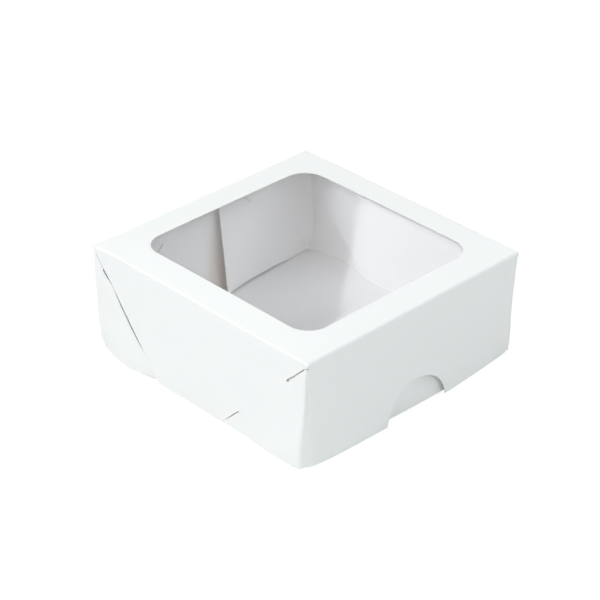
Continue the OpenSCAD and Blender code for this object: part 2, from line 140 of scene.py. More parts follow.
@dataclass(frozen=True)
class Carton:
    """Driving sizes of the carton, in metres, and the places that follow from them."""

    # The box and its sheets.
    length: float = 130 * MM
    width: float = 127 * MM
    height: float = 50 * MM
    end_lean: float = 2.85 * MM
    board: float = 0.5 * MM
    film: float = 0.15 * MM
    glue: float = 0.05 * MM
    fold_radius: float = 0.5 * MM
    lid_gap: float = 0.35 * MM
    wall_top_gap: float = 0.6 * MM
    flap_lift: float = 0.5 * MM
    # Cuts in the lid.
    window_margin: float = 14 * MM
    window_corner: float = 10.5 * MM
    film_overlap: float = 7 * MM
    notch_radius: float = 18.5 * MM
    notch_height: float = 15.5 * MM
    notch_shift: float = 1.0 * MM
    tab_length: float = 15 * MM
    tab_clip: float = 4 * MM
    front_clip: float = 0.8 * MM
    slant_top: float = 0.4 * MM
    slant_drop: float = 8 * MM
    slant_start: float = 5.3 * MM
    slant_foot: float = 41.3 * MM
    slit: float = 0.5 * MM
    slit_mouth: float = 1.1 * MM
    slit_upper: float = 13.5 * MM
    slit_lower: float = 10.6 * MM
    fold_step: float = 0.4 * MM
    round_start: float = 15 * MM
    side_fold_end: float = 1.45
    side_flap_end: float = 1.35
    # Cuts in the tray.
    flap_clear: float = 6.7 * MM
    flap_lap: float = 5.6 * MM
    diagonal_rise: float = 2.5 * MM
    short_slit: float = 9 * MM
    sprung_slit: float = 10.4 * MM
    long_slit: float = 13 * MM
    long_slit_drop: float = 11 * MM
    corner_slit_half: float = 0.475 * math.sqrt(2) * MM
    corner_foot_step: Point = (12 * MM, 22 * MM)
    corner_foot_close: float = 0.6 * MM
    back_wall_short: float = 1.2 * MM
    # The lid's crown and its film.
    lid_crown: float = 1.5 * MM
    crown_power: float = 4
    film_flatness: float = 2.4
    film_wave: float = 0.10 * MM
    film_wave_run: Point = (13 * MM, 17 * MM)
    film_swell: float = 0.16 * MM
    film_swell_run: Point = (60 * MM, 21 * MM)
    # The front flap's bow.
    flap_bow: float = 4.6 * MM
    bow_rise: float = 0.2
    bow_fall: float = 2.4
    bow_drop: float = 1.2
    bow_corner: float = 1 / 40
    bow_ramp: Point = (1.7 * MM, 6 * MM)
    lens_short: float = 1.25 * MM
    lens_over: float = 1.9 * MM
    lens_rows: tuple[float, ...] = (14 * MM, 26 * MM, 44 * MM)
    lens_over_rows: Point = (-6 * MM, 24 * MM)
    # The lid's sides, and how its rim has risen.
    side_bulge: float = 1.3 * MM
    gusset_puff: float = 14 * MM
    lid_corner: float = 0.6 * MM
    lid_corner_span: Point = (25 * MM, 45 * MM)
    corner_size: float = 14 * MM
    ridge: float = 0.45 * MM
    ridge_growth: float = 0.35 * MM
    lift_left: Point = (0.8 * MM, 1.0 * MM)
    lift_right: Point = (1.6 * MM, 2.1 * MM)
    lift_run: float = 18 * MM
    hinge_room: float = 0.35 * MM
    # The tray's bowed and swollen walls.
    wall_bow: float = 5.9 * MM
    corner_puff: float = 1.45 * MM
    puff_foot: float = 6 * MM
    puff_full: float = 16 * MM
    puff_fall: float = 44 * MM
    corner_room: float = 0.5 * MM
    corner_curve: float = 4 * MM
    corner_curve_foot: float = 10 * MM
    corner_reach: float = 9 * MM
    crease_bead: float = 0.45 * MM
    crease_bead_rows: Point = (4 * MM, 20 * MM)
    corner_curve_start: float = 30 * MM
    low_top_run: float = 4 * MM
    low_corner_run: float = 5 * MM
    foot_swell: float = 3.7 * MM
    foot_swell_top: float = 22 * MM
    # The gap beside the lid's slanted free end.
    gap_depth: float = 0.12 * MM
    gap_least: float = 0.02 * MM
    gap_line: float = 1.4 * MM
    gap_line_opens: Point = (9 * MM, 20 * MM)
    gap_line_closes: Point = (25 * MM, 36 * MM)
    gap_dash: float = 1.35 * MM
    dash_below_knee: tuple[float, ...] = (4.8 * MM, 3.7 * MM, 1.9 * MM, 0.3 * MM)
    dent: float = 0.9 * MM
    dent_reach: float = 3 * MM
    lip: float = 1.2 * MM
    lip_reach: float = 4 * MM
    bank_room: float = 0.3 * MM
    bank_inside: float = 15 * MM
    level_rows: Point = (0.5 * MM, 12 * MM)
    drift_room: float = 0.1 * MM
    # The sprung corner flap.
    spring_angle: float = math.radians(6.2)
    spring_gap: float = 0.1 * MM
    flap_curl: float = 2.2 * MM
    curl_start: float = 38 * MM

    @property
    def lean(self) -> float:
        """Angle by which the end walls lean, in radians."""
        return math.atan(self.end_lean / self.height)

    @property
    def fold_out(self) -> float:
        """Outer radius of a fold."""
        return self.fold_radius + self.board

    @property
    def quarter(self) -> float:
        """Length of board round the outside of a square fold."""
        return math.pi / 2 * self.fold_out

    @property
    def foot_x(self) -> float:
        """Distance from the middle to the foot of an end wall."""
        return self.length / 2 - self.end_lean

    @property
    def tray_y(self) -> float:
        """Outer half width of the tray."""
        return self.width / 2 - self.board - self.lid_gap

    @property
    def inner_y(self) -> float:
        """Half width of the tray between its folds."""
        return self.tray_y - self.fold_out

    @property
    def tray_top(self) -> float:
        """Height of the tray's walls."""
        return self.height - self.board - self.wall_top_gap

    @property
    def front_depth(self) -> float:
        """Depth of the tray's front wall behind the outer face of the lid's front flap."""
        return 2 * self.board + self.glue + self.lid_gap

    @property
    def tab_depth(self) -> float:
        """Depth of a layer that is glued behind one sheet of board."""
        return self.board + self.glue

    @property
    def lid_y(self) -> float:
        """Half width of the lid's flat panel between its side folds."""
        return self.width / 2 - self.fold_out

    @property
    def fold_z(self) -> float:
        """Height of the centre line of the lid's folds."""
        return self.height - self.fold_out

    @property
    def hinge_x(self) -> float:
        """Place of the hinge axis along the box."""
        return -self.end_x(self.board / 2, self.height - self.board / 2)

    @property
    def lid_back_x(self) -> float:
        """Where the lid's panel starts at the hinge."""
        return self.hinge_x + self.board

    @property
    def lid_front_x(self) -> float:
        """Where the lid's panel ends at the front fold."""
        return self.end_x(self.fold_out, self.fold_z)

    @property
    def lid_mid_x(self) -> float:
        """Middle of the lid's panel."""
        return (self.lid_back_x + self.lid_front_x) / 2

    @property
    def lid_half_x(self) -> float:
        """Half length of the lid's panel."""
        return (self.lid_front_x - self.lid_back_x) / 2

    @property
    def window_x(self) -> float:
        """Half length of the window."""
        return self.length / 2 - self.window_margin

    @property
    def window_y(self) -> float:
        """Half width of the window."""
        return self.width / 2 - self.window_margin

    @property
    def knee_z(self) -> float:
        """Height where the steep top of a side flap's free end meets its slant."""
        return self.height - self.slant_drop

    @property
    def diagonal_x(self) -> float:
        """Where the diagonal fold of a side flap would meet the table."""
        return self.length / 2 - self.fold_z

    @property
    def gusset_top(self) -> Point:
        """Where the diagonal fold meets the corner fold, along X and Z."""
        slope = math.tan(self.lean)
        z = (self.tab_x(self.fold_z) - self.diagonal_x - self.fold_z * slope) / (1 - slope)
        return self.diagonal_x + z, z

    @property
    def flap_head_z(self) -> float:
        """Height of the front flap's top along its leaning face."""
        return self.end_z(self.fold_out, self.fold_z)

    @property
    def bow_peak(self) -> float:
        """Height of the bow's curve before it is scaled to the flap's bow."""
        both = self.bow_rise + self.bow_fall
        return (self.bow_rise / both) ** (self.bow_rise / self.bow_fall) * self.bow_fall / both

    def end_x(self, depth: float, z: float) -> float:
        """Distance from the middle to a layer of an end wall, at a height above the table."""
        return self.foot_x - depth / math.cos(self.lean) + z * math.tan(self.lean)

    def end_z(self, depth: float, z: float) -> float:
        """Height along a leaning end wall, for a height above the table."""
        return (z - depth * math.sin(self.lean)) / math.cos(self.lean)

    def tab_x(self, z: float) -> float:
        """Distance from the middle to the fold of a layer glued behind an end, at a height."""
        return self.end_x(self.tab_depth + self.fold_out, z)

    def flap_depth(self, end: End) -> float:
        """Depth of the outer face of the tray's corner flaps at an end."""
        return self.tab_depth + (0.0 if end is End.BACK else self.front_depth)

    def at_end(self, end: End, depth: float, y: float, z: float) -> Vector:
        """A point at a depth in an end, and at a height along its leaning face."""
        x = self.foot_x - depth * math.cos(self.lean) + z * math.sin(self.lean)
        return Vector((end.value * x, y, depth * math.sin(self.lean) + z * math.cos(self.lean)))

    def bow(self, y: float, z: float) -> float:
        """How far the front flap bows out.

        Args:
            y: place across the flap.
            z: height along its face.

        Returns:
            The distance from the flap's unbent plane.
        """
        across = clamp((y + self.lid_y) / (2 * self.lid_y))
        start, run = self.bow_ramp
        ramp = math.sin(math.pi / 2 * clamp((y + self.lid_y + start) / run))
        curve = max(across, self.bow_corner) ** self.bow_rise * (1 - across**self.bow_fall)
        drop = fade(z / self.flap_head_z) ** self.bow_drop
        return self.flap_bow / self.bow_peak * ramp * curve * drop

    def on_panel(self, x: float, y: float) -> Point:
        """How far out a place on the lid is, from 0 in the middle to 1 at its folds."""
        return abs((x - self.lid_mid_x) / self.lid_half_x), abs(y / self.lid_y)

    def crown(self, x: float, y: float) -> float:
        """How far the lid's panel rises over its edges at a place on it."""
        u, v = self.on_panel(x, y)
        return self.lid_crown * (1 - u**self.crown_power) * (1 - v**self.crown_power)

    def film_drop(self, x: float, y: float) -> float:
        """How far the film stays below the crown's curve.

        Args:
            x: place along the box.
            y: place across it.

        Returns:
            The distance, with which the film is close to flat across the window.
        """
        u, v = self.on_panel(x, y)
        power = self.crown_power
        along = (self.window_x / self.lid_half_x) ** power - u**power
        across = (self.window_y / self.lid_y) ** power - v**power
        return self.film_flatness * self.lid_crown * max(0.0, along) * max(0.0, across)

    def rim_tilt(self, share: float, half: float) -> float:
        """Angle by which the lid's panel rises from a fold.

        Args:
            share: place along the fold, from -1 to 1.
            half: half the panel's size across the fold.

        Returns:
            The angle, in radians.
        """
        rise = self.crown_power * self.lid_crown / half
        return math.atan(rise * fade(abs(share) ** self.crown_power))

    def bulge(self, x: float, z: float) -> float:
        """How far a side flap of the lid stands out at a place on it."""
        along = clamp((x + self.length / 2) / (self.tab_x(z) + self.length / 2))
        return self.side_bulge * (1 - along**5) * fade(z / self.fold_z) ** 1.4

    def gusset_swell(self, x: float, z: float) -> float:
        """How much further a side flap of the lid stands out in front of its diagonal fold."""
        share = clamp((x - z - self.diagonal_x) / (self.foot_x - self.flap_lift - self.diagonal_x))
        return self.gusset_puff * share**3 * (1.1 - share) * fade(z / self.fold_z)

    def front_swell(self, y: float, z: float) -> float:
        """How far the tray's front wall bows out, at a height above the table.

        Args:
            y: place across the box.
            z: height above the table.

        Returns:
            The distance from the wall's unbent plane.
        """
        across = clamp((y + self.tray_y) / (2 * self.tray_y))
        down = fade(z / self.tray_top) ** (1.2 + 2.4 * across)
        return self.wall_bow * across**0.8 * (1 - across**3.2) * down

    def corner_out(self, z: float) -> float:
        """How far the upright fold at the back left stands out, along X and along Y alike."""
        low = smooth(z, 0, self.puff_foot) * (0.75 + 0.25 * smooth(z, 0, self.puff_full))
        return self.corner_puff * low * (1 - 0.2 * smooth(z, self.puff_fall, self.tray_top))

    def corner_pull(self, z: float) -> float:
        """How far the fold at the back right is pulled forward off the back wall."""
        return self.corner_curve * smooth(z, 0, self.corner_curve_foot)

    def free_end_x(self, z: float) -> float:
        """Where the slanted free end of a side flap of the lid is, at a height.

        Args:
            z: height above the table.

        Returns:
            The place along the box.
        """
        start, knee = -self.length / 2, self.knee_z
        if z > knee:
            share = (z - knee) / (self.fold_z - knee)
            return start + self.slant_start * (1 - share) + self.slant_top * share
        share = (knee - z) / (knee - self.flap_lift)
        return start + self.slant_start + (self.slant_foot - self.slant_start) * share

    def dash(self, z: float) -> float:
        """How far the gap beside a slanted free end opens near the knee, from 0 to 1."""
        foot, low, high, top = (self.knee_z - drop for drop in self.dash_below_knee)
        return smooth(z, foot, low) * (1 - smooth(z, high, top))

    def gap_width(self, z: float) -> float:
        """Width of the gap between a slanted free end and the board that swells beside it.

        Args:
            z: height above the table.

        Returns:
            The width, which is least at the line's ends and most at the dash.
        """
        dash = self.dash(z)
        line = smooth(z, *self.gap_line_opens) * (1 - 0.92 * smooth(z, *self.gap_line_closes))
        return self.gap_least + self.gap_line * line * (1 - dash) + self.gap_dash * dash

    def ridge_rise(self, y: float) -> float:
        """How much higher than the straight lid the hinge's fold is."""
        return self.ridge + self.ridge_growth * (y + self.width / 2) / self.width

    def raised(self, x: float, y: float, z: float) -> float:
        """How much higher than on the straight box a point of the lid is.

        Args:
            x: place along the box.
            y: place across it.
            z: height on the straight box.

        Returns:
            The rise, which goes from the hinge's ridge over into the rim's own.
        """
        along = clamp((x + self.length / 2) / self.length)
        across = clamp((y + self.width / 2) / self.width)
        left, right = (
            near * (1 - along) + far * along for near, far in (self.lift_left, self.lift_right)
        )
        rim = left * (1 - across) + right * across
        ridge = self.ridge_rise(y)
        past = smooth(x, -self.length / 2, self.lift_run - self.length / 2)
        return (ridge + (rim - ridge) * past) * clamp(z / self.height) ** 2

    def lid_out(self, x: float, y: float, z: float) -> float:
        """How far a back corner of the lid stands out, along X and along Y alike.

        Args:
            x: place along the box.
            y: place across the box.
            z: height above the table.

        Returns:
            The distance along each axis.
        """
        near = fade((x + self.length / 2) / self.corner_size)
        near *= fade((self.width / 2 - abs(y)) / self.corner_size)
        return self.lid_corner * min(1.0, near) ** 2 * smooth(z, *self.lid_corner_span)

    def settled(self, point: Vector) -> Vector:
        """A point of the straight lid, as a point of the lid that has risen at its rim.

        Args:
            point: the point of the straight lid.

        Returns:
            The point of the risen lid.
        """
        x, y, z = point
        out = self.lid_out(x, y, z)
        return Vector((x - out, y + math.copysign(out, y), z + self.raised(x, y, z)))

    def gap_x(self, z: float) -> float:
        """Where the side wall's swollen part ends beside the lid's slanted free end."""
        end = (self.free_end_x(z), -self.width / 2, z)
        return self.free_end_x(z - self.raised(*end)) - self.lid_out(*end) - self.gap_width(z)

    def bank_x(self, z: float) -> float:
        """Where the swollen part of a side wall ends, on the unbent wall."""
        return max(self.gap_x(z), self.bank_room - self.tab_x(z))

    def corner_share(self, x: float, z: float) -> float:
        """How near a place of a side wall is to its back corner, from 0 at the free end to 1."""
        edge = self.bank_x(z)
        return clamp((edge - x) / (edge + self.tab_x(z)))

    def low_swell(self, x: float, z: float) -> float:
        """How far the foot of a side wall bellies out between its corner and the lid's flap."""
        along = math.sin(math.pi * self.corner_share(x, z))
        return self.foot_swell * along * (1 - smooth(z, 0, self.foot_swell_top))

    def corner_drift(self, x: float, z: float) -> float:
        """How far a place of a side wall is pushed back with its swollen corner.

        Args:
            x: place along the box.
            z: height above the table.

        Returns:
            The distance along X, towards the hinge.
        """
        edge, share = self.bank_x(z), self.corner_share(x, z) ** 2
        out = self.corner_out(z)
        most = min(out - self.drift_room, edge - self.gap_x(z))
        at_edge = most * fade(max(0.0, x - edge) / self.lip_reach)
        return at_edge * (1 - share) + out * share

    def lip_shift(self, x: float, z: float) -> float:
        """How far the outer face beside the gap runs back under the swollen part's lip.

        Args:
            x: place along the box.
            z: height above the table.

        Returns:
            The distance along X, towards the hinge.
        """
        past = x - self.bank_x(z)
        if past < self.gap_depth:
            return self.lip * max(0.0, past) / self.gap_depth
        return self.lip * fade((past - self.gap_depth) / self.lip_reach)

    def side_swell(self, x: float, z: float, outer: bool) -> float:
        """How far a side wall stands out beyond the lid's slanted free end.

        Args:
            x: place along the wall.
            z: height on it.
            outer: whether it is the wall's outer face, which drops sharply into the gap.

        Returns:
            The distance from the wall's unbent plane.
        """
        edge, share = self.bank_x(z), self.corner_share(x, z)
        if outer:
            bank = clamp((edge + self.gap_depth - x) / self.gap_depth)
        else:
            bank = smooth(edge - x, 0, self.bank_inside)
        flush = self.board + self.lid_gap + self.bulge(x, z) + self.lid_out(x, -self.width / 2, z)
        level = flush * smooth(z, *self.level_rows)
        past = abs(x - edge - self.gap_width(z) / 2)
        dent = self.dent * self.dash(z) * fade(past / self.dent_reach) * (1 - bank)
        swell = level * (1 - share) + self.corner_out(z) * share
        return bank * swell + self.low_swell(x, z) - dent


class Signal:
    """A shader value on which arithmetic adds Math nodes."""

    def __init__(self, kit: "NodeKit", socket: bpy.types.NodeSocket) -> None:
        """Wraps a socket of a material's nodes."""
        self.kit = kit
        self.socket = socket

    def maths(self, operation: str, *values: Value) -> "Signal":
        """Adds one Math node and returns its result."""
        node = self.kit.add("ShaderNodeMath", {"operation": operation}, dict(enumerate(values)))
        return Signal(self.kit, node.outputs[0])

    def __add__(self, other: Value) -> "Signal":
        """This value plus another."""
        return self.maths("ADD", self, other)

    def __sub__(self, other: Value) -> "Signal":
        """This value less another."""
        return self.maths("SUBTRACT", self, other)

    def __rsub__(self, other: Value) -> "Signal":
        """Another value less this one."""
        return self.maths("SUBTRACT", other, self)

    def __mul__(self, other: Value) -> "Signal":
        """This value times another."""
        return self.maths("MULTIPLY", self, other)

    def __pow__(self, other: Value) -> "Signal":
        """This value to a power."""
        return self.maths("POWER", self, other)

    __radd__ = __add__
    __rmul__ = __mul__

    def or_more(self, other: Value) -> "Signal":
        """The larger of this value and another."""
        return self.maths("MAXIMUM", self, other)

    def between(self, low: float, high: float) -> "Signal":
        """A smooth rise from 0 at the low value to 1 at the high one."""
        settings = {"interpolation_type": "SMOOTHSTEP"}
        node = self.kit.add("ShaderNodeMapRange", settings, {0: self, 1: low, 2: high})
        return Signal(self.kit, node.outputs[0])


class NodeKit:
    """The nodes of one material or world."""

    def __init__(self, owner: bpy.types.Material | bpy.types.World) -> None:
        """Empties the node tree of its owner."""
        owner.use_nodes = True
        self.owner = owner
        self.tree = owner.node_tree
        self.tree.nodes.clear()

    @classmethod
    def material(cls, name: str) -> "NodeKit":
        """Starts a new material."""
        return cls(bpy.data.materials.new(name))

    def add(
        self,
        kind: str,
        settings: Mapping[str, Any] | None = None,
        sockets: Mapping[int | str, Value] | None = None,
    ) -> bpy.types.Node:
        """Adds a node.

        Args:
            kind: the node's type.
            settings: its properties, set before its sockets.
            sockets: the values or links of its inputs, by number or name.

        Returns:
            The node.
        """
        node = self.tree.nodes.new(kind)
        for key, value in (settings or {}).items():
            setattr(node, key, value)
        for key, value in (sockets or {}).items():
            source = value.socket if isinstance(value, Signal) else value
            if isinstance(source, bpy.types.NodeSocket):
                self.tree.links.new(source, node.inputs[key])
            else:
                node.inputs[key].default_value = source
        return node

    def shader(self, kind: str, **sockets: Value) -> bpy.types.NodeSocket:
        """Adds a shader, with underscores for the spaces in its inputs' names."""
        named = {key.replace("_", " "): value for key, value in sockets.items()}
        return self.add(f"ShaderNode{kind}", None, named).outputs[0]

    def signal(self, node: bpy.types.Node, output: int | str = 0) -> Signal:
        """One output of a node as a value for arithmetic."""
        return Signal(self, node.outputs[output])

    def place(self) -> bpy.types.NodeSocket:
        """The piece's own coordinates."""
        return self.add("ShaderNodeTexCoord").outputs["Object"]

    def noise(self, scale: float, detail: float = 3, stretch: tuple = (1, 1, 1)) -> Signal:
        """Noise over the piece's own coordinates, from 0 to 1.

        Args:
            scale: size of the noise's cells is one over this, in metres.
            detail: how many finer octaves it has.
            stretch: factors on the three axes.

        Returns:
            The noise value.
        """
        mapped = self.add("ShaderNodeMapping", None, {"Vector": self.place(), "Scale": stretch})
        sockets = {"Vector": mapped.outputs[0], "Scale": scale, "Detail": detail}
        return self.signal(self.add("ShaderNodeTexNoise", None, sockets))

    def mix(self, factor: Value, first: Value, second: Value) -> bpy.types.NodeSocket:
        """Mixes two colours."""
        sockets = {0: factor, 6: first, 7: second}
        return self.add("ShaderNodeMix", {"data_type": "RGBA"}, sockets).outputs[2]

    def blend(self, factor: Value, first: Value, second: Value) -> bpy.types.NodeSocket:
        """Mixes two shaders."""
        return self.add("ShaderNodeMixShader", None, {0: factor, 1: first, 2: second}).outputs[0]

    @staticmethod
    def bump(height: Value, distance: float, strength: float) -> dict[str, Value]:
        """One stage of a bumped normal."""
        return {"Height": height, "Distance": distance, "Strength": strength}

    def bumped(self, *stages: dict[str, Value]) -> bpy.types.NodeSocket:
        """Turns heights into a bumped normal, each over the one before.

        Args:
            stages: the stages, from the coarsest to the finest.

        Returns:
            The normal.
        """
        normal = None
        for stage in stages:
            under = {} if normal is None else {"Normal": normal}
            normal = self.add("ShaderNodeBump", None, stage | under).outputs[0]
        return normal

    def finish(self, shader: bpy.types.NodeSocket, kind: str = "Material") -> bpy.types.ID:
        """Sends a shader to the output and returns the owner."""
        self.add(f"ShaderNodeOutput{kind}", None, {"Surface": shader})
        return self.owner


@dataclass(frozen=True)
class BoardFinish:
    """Smooth white folding board, coated or bare, optionally with a warm shade painted into its
    colour.
    """

    name: str
    colour: tuple
    fibre_colour: tuple
    roughness: float
    gloss: float
    fibre: float
    # Painted shade: a warm tint put into the colour where the sprung flap shades the board, and
    # where it lies in the piece's own coordinates.
    stain: tuple | None = None
    stain_start: float = -8 * MM
    stain_end: float = 12 * MM
    stain_low: float = 12 * MM
    stain_high: float = 60 * MM

    def build(self) -> bpy.types.Material:
        """Makes the material.

        Returns:
            Board with clouded whiteness, fine fibres, a low uneven sheen and, where set, a painted
            warm shade.
        """
        kit = NodeKit.material(self.name)
        cloud = kit.noise(60, 4)
        fibre = kit.noise(2600, 2, (1, 0.25, 0.5))
        speck = kit.noise(5200, 1).between(0.72, 0.86)
        fleck = tuple(c * 0.86 for c in self.fibre_colour[:3]) + (1,)
        tone = kit.mix(cloud * 0.5 + fibre * self.fibre, self.colour, self.fibre_colour)
        tone = kit.mix(speck * 0.12, tone, fleck)
        # Painted shade: a warm tint mixed into the colour beside the sprung flap's free edge,
        # strongest towards the foot.
        if self.stain:
            tone = kit.mix(self.stain_share(kit) * (0.7 + cloud * 0.6), tone, self.stain)
        grain = fibre * 0.6 + kit.noise(900, 3) * 0.4
        ripple = kit.bump(kit.noise(45, 2), 0.35 * MM, 0.25)
        shader = kit.shader(
            "BsdfPrincipled",
            Base_Color=tone,
            Roughness=self.roughness + (cloud - 0.5) * 0.12 + (fibre - 0.5) * 0.08,
            Specular_IOR_Level=self.gloss,
            Normal=kit.bumped(ripple, kit.bump(grain, 0.012 * MM, 0.6)),
        )
        return kit.finish(shader)

    def stain_share(self, kit: NodeKit) -> Signal:
        """How strongly the painted warm shade shows over the piece, most beside the sprung flap's
        free edge and towards the foot.

        Args:
            kit: the material's nodes.

        Returns:
            The share, from 0 to 1.
        """
        spot = kit.add("ShaderNodeSeparateXYZ", None, {0: kit.place()})
        side = kit.signal(spot, "Y")
        across = side.between(self.stain_start, self.stain_end)
        across *= 1 - side.between(2 * self.stain_end, 3 * self.stain_end)
        return across * (1 - kit.signal(spot, "Z").between(self.stain_low, self.stain_high))


@dataclass(frozen=True)
class CutEdgeFinish:
    """Die-cut edge of the board, with its pressed plies showing."""

    name: str
    colour: tuple
    core_colour: tuple

    def build(self) -> bpy.types.Material:
        """Makes the material.

        Returns:
            A matt edge of torn fibres, a little duller than the board's face.
        """
        kit = NodeKit.material(self.name)
        torn = kit.noise(3200, 4)
        chip = kit.noise(700, 3).between(0.45, 0.7)
        shader = kit.shader(
            "BsdfPrincipled",
            Base_Color=kit.mix(torn * 0.6 + chip * 0.3, self.colour, self.core_colour),
            Roughness=0.8 + (torn - 0.5) * 0.2,
            Specular_IOR_Level=0.2,
            Normal=kit.bumped(kit.bump(torn, 0.05 * MM, 0.7)),
        )
        return kit.finish(shader)


@dataclass(frozen=True)
class FilmFinish:
    """Thin clear film that reflects more the flatter it is seen."""

    name: str
    tint: tuple
    haze: tuple
    head_on: float
    edge_on: float

    def build(self) -> bpy.types.Material:
        """Makes the material.

        Returns:
            Clear film with a faint haze, fine draw lines and gloss, which lets light through.
        """
        kit = NodeKit.material(self.name)
        facing = kit.signal(kit.add("ShaderNodeLayerWeight", None, {"Blend": 0.5}), "Facing")
        draw = kit.noise(160, 2, (1, 0.12, 1))
        smear = kit.noise(38, 3)
        mirror = self.head_on + self.edge_on * facing**4
        glossy = kit.shader(
            "BsdfPrincipled",
            Base_Color=kit.mix(smear, self.haze, self.tint),
            Metallic=1.0,
            Roughness=0.04 + smear * 0.05,
            Normal=kit.bumped(kit.bump(draw, 0.05 * MM, 0.08)),
        )
        clear = kit.shader("BsdfTransparent", Color=self.tint)
        kit.owner.use_transparent_shadow = True
        return kit.finish(kit.blend(mirror + (smear - 0.5) * 0.01, clear, glossy))


@dataclass(frozen=True)
class GlueFinish:
    """Dried white glue between layers of board."""

    name: str
    colour: tuple

    def build(self) -> bpy.types.Material:
        """Makes the material.

        Returns:
            Cloudy glue with small bubbles.
        """
        kit = NodeKit.material(self.name)
        bubble = kit.noise(1500, 2).between(0.6, 0.75)
        pale = tuple(min(1.0, c * 1.06) for c in self.colour[:3]) + (1,)
        shader = kit.shader(
            "BsdfPrincipled",
            Base_Color=kit.mix(bubble, self.colour, pale),
            Roughness=0.35 + bubble * 0.2,
            Normal=kit.bumped(kit.bump(bubble, 0.02 * MM, 0.5)),
        )
        return kit.finish(shader)


@dataclass(frozen=True)
class FloorFinish:
    """Pale studio floor that looks white to the camera and keeps the object's shadow."""

    name: str
    colour: tuple
    glow: float
    glow_share: float

    def build(self) -> bpy.types.Material:
        """Makes the material.

        Returns:
            A matt floor, partly lit by itself for the camera and for reflections.
        """
        kit = NodeKit.material(self.name)
        matt = kit.shader("BsdfDiffuse", Color=self.colour)
        lit = kit.shader("Emission", Color=(1, 1, 1, 1), Strength=self.glow)
        path = kit.add("ShaderNodeLightPath")
        seen = kit.signal(path, "Is Camera Ray")
        for ray in ("Is Glossy Ray", "Is Transmission Ray"):
            seen = seen.or_more(kit.signal(path, ray))
        return kit.finish(kit.blend(seen * self.glow_share, matt, lit))


@dataclass(frozen=True)
class Stock:
    """What sheets are cut from: its thickness, its softened rim and the finishes of its faces."""

    thickness: float
    rim: float
    skins: Sequence[bpy.types.Material]


class Palette:
    """The finishes and the stock of the carton, built once."""

    def __init__(self, box: Carton) -> None:
        """Builds every material."""
        bare = BoardFinish(
            "bare_white_board",
            colour=(0.92, 0.903, 0.895, 1),
            fibre_colour=(0.90, 0.882, 0.872, 1),
            roughness=0.72,
            gloss=0.25,
            fibre=0.4,
        )
        coated = BoardFinish(
            "coated_white_board",
            colour=(0.90, 0.925, 0.92, 1),
            fibre_colour=(0.885, 0.905, 0.905, 1),
            roughness=0.5,
            gloss=0.4,
            fibre=0.25,
        )
        cut = CutEdgeFinish("cut_edge", (0.86, 0.865, 0.855, 1), (0.76, 0.755, 0.735, 1))
        film = FilmFinish(
            "window_film",
            tint=(0.978, 0.986, 0.995, 1),
            haze=(0.94, 0.95, 0.97, 1),
            head_on=0.02,
            edge_on=0.6,
        )
        glue = GlueFinish("dried_glue", (0.80, 0.80, 0.74, 1))
        board = [finish.build() for finish in (coated, bare, cut)]
        # Painted shade: the inside board with a warm tint painted where the sprung flap shades the
        # back wall and the long flap.
        stain = replace(bare, name="glue_stained_board", stain=(0.96, 0.83, 0.75, 1))
        self.stained = stain.build()
        self.stock = {
            Slot.BOARD: Stock(box.board, 0.06 * MM, board),
            Slot.FILM: Stock(box.film, 0.02 * MM, [film.build()] * 3),
            Slot.GLUE: Stock(box.glue, 0.01 * MM, [glue.build()] * 3),
        }


def everywhere(u: float, v: float) -> bool:
    """Softens the whole rim of a sheet."""
    return True


def nowhere(u: float, v: float) -> bool:
    """Keeps the whole rim of a sheet sharp."""
    return False


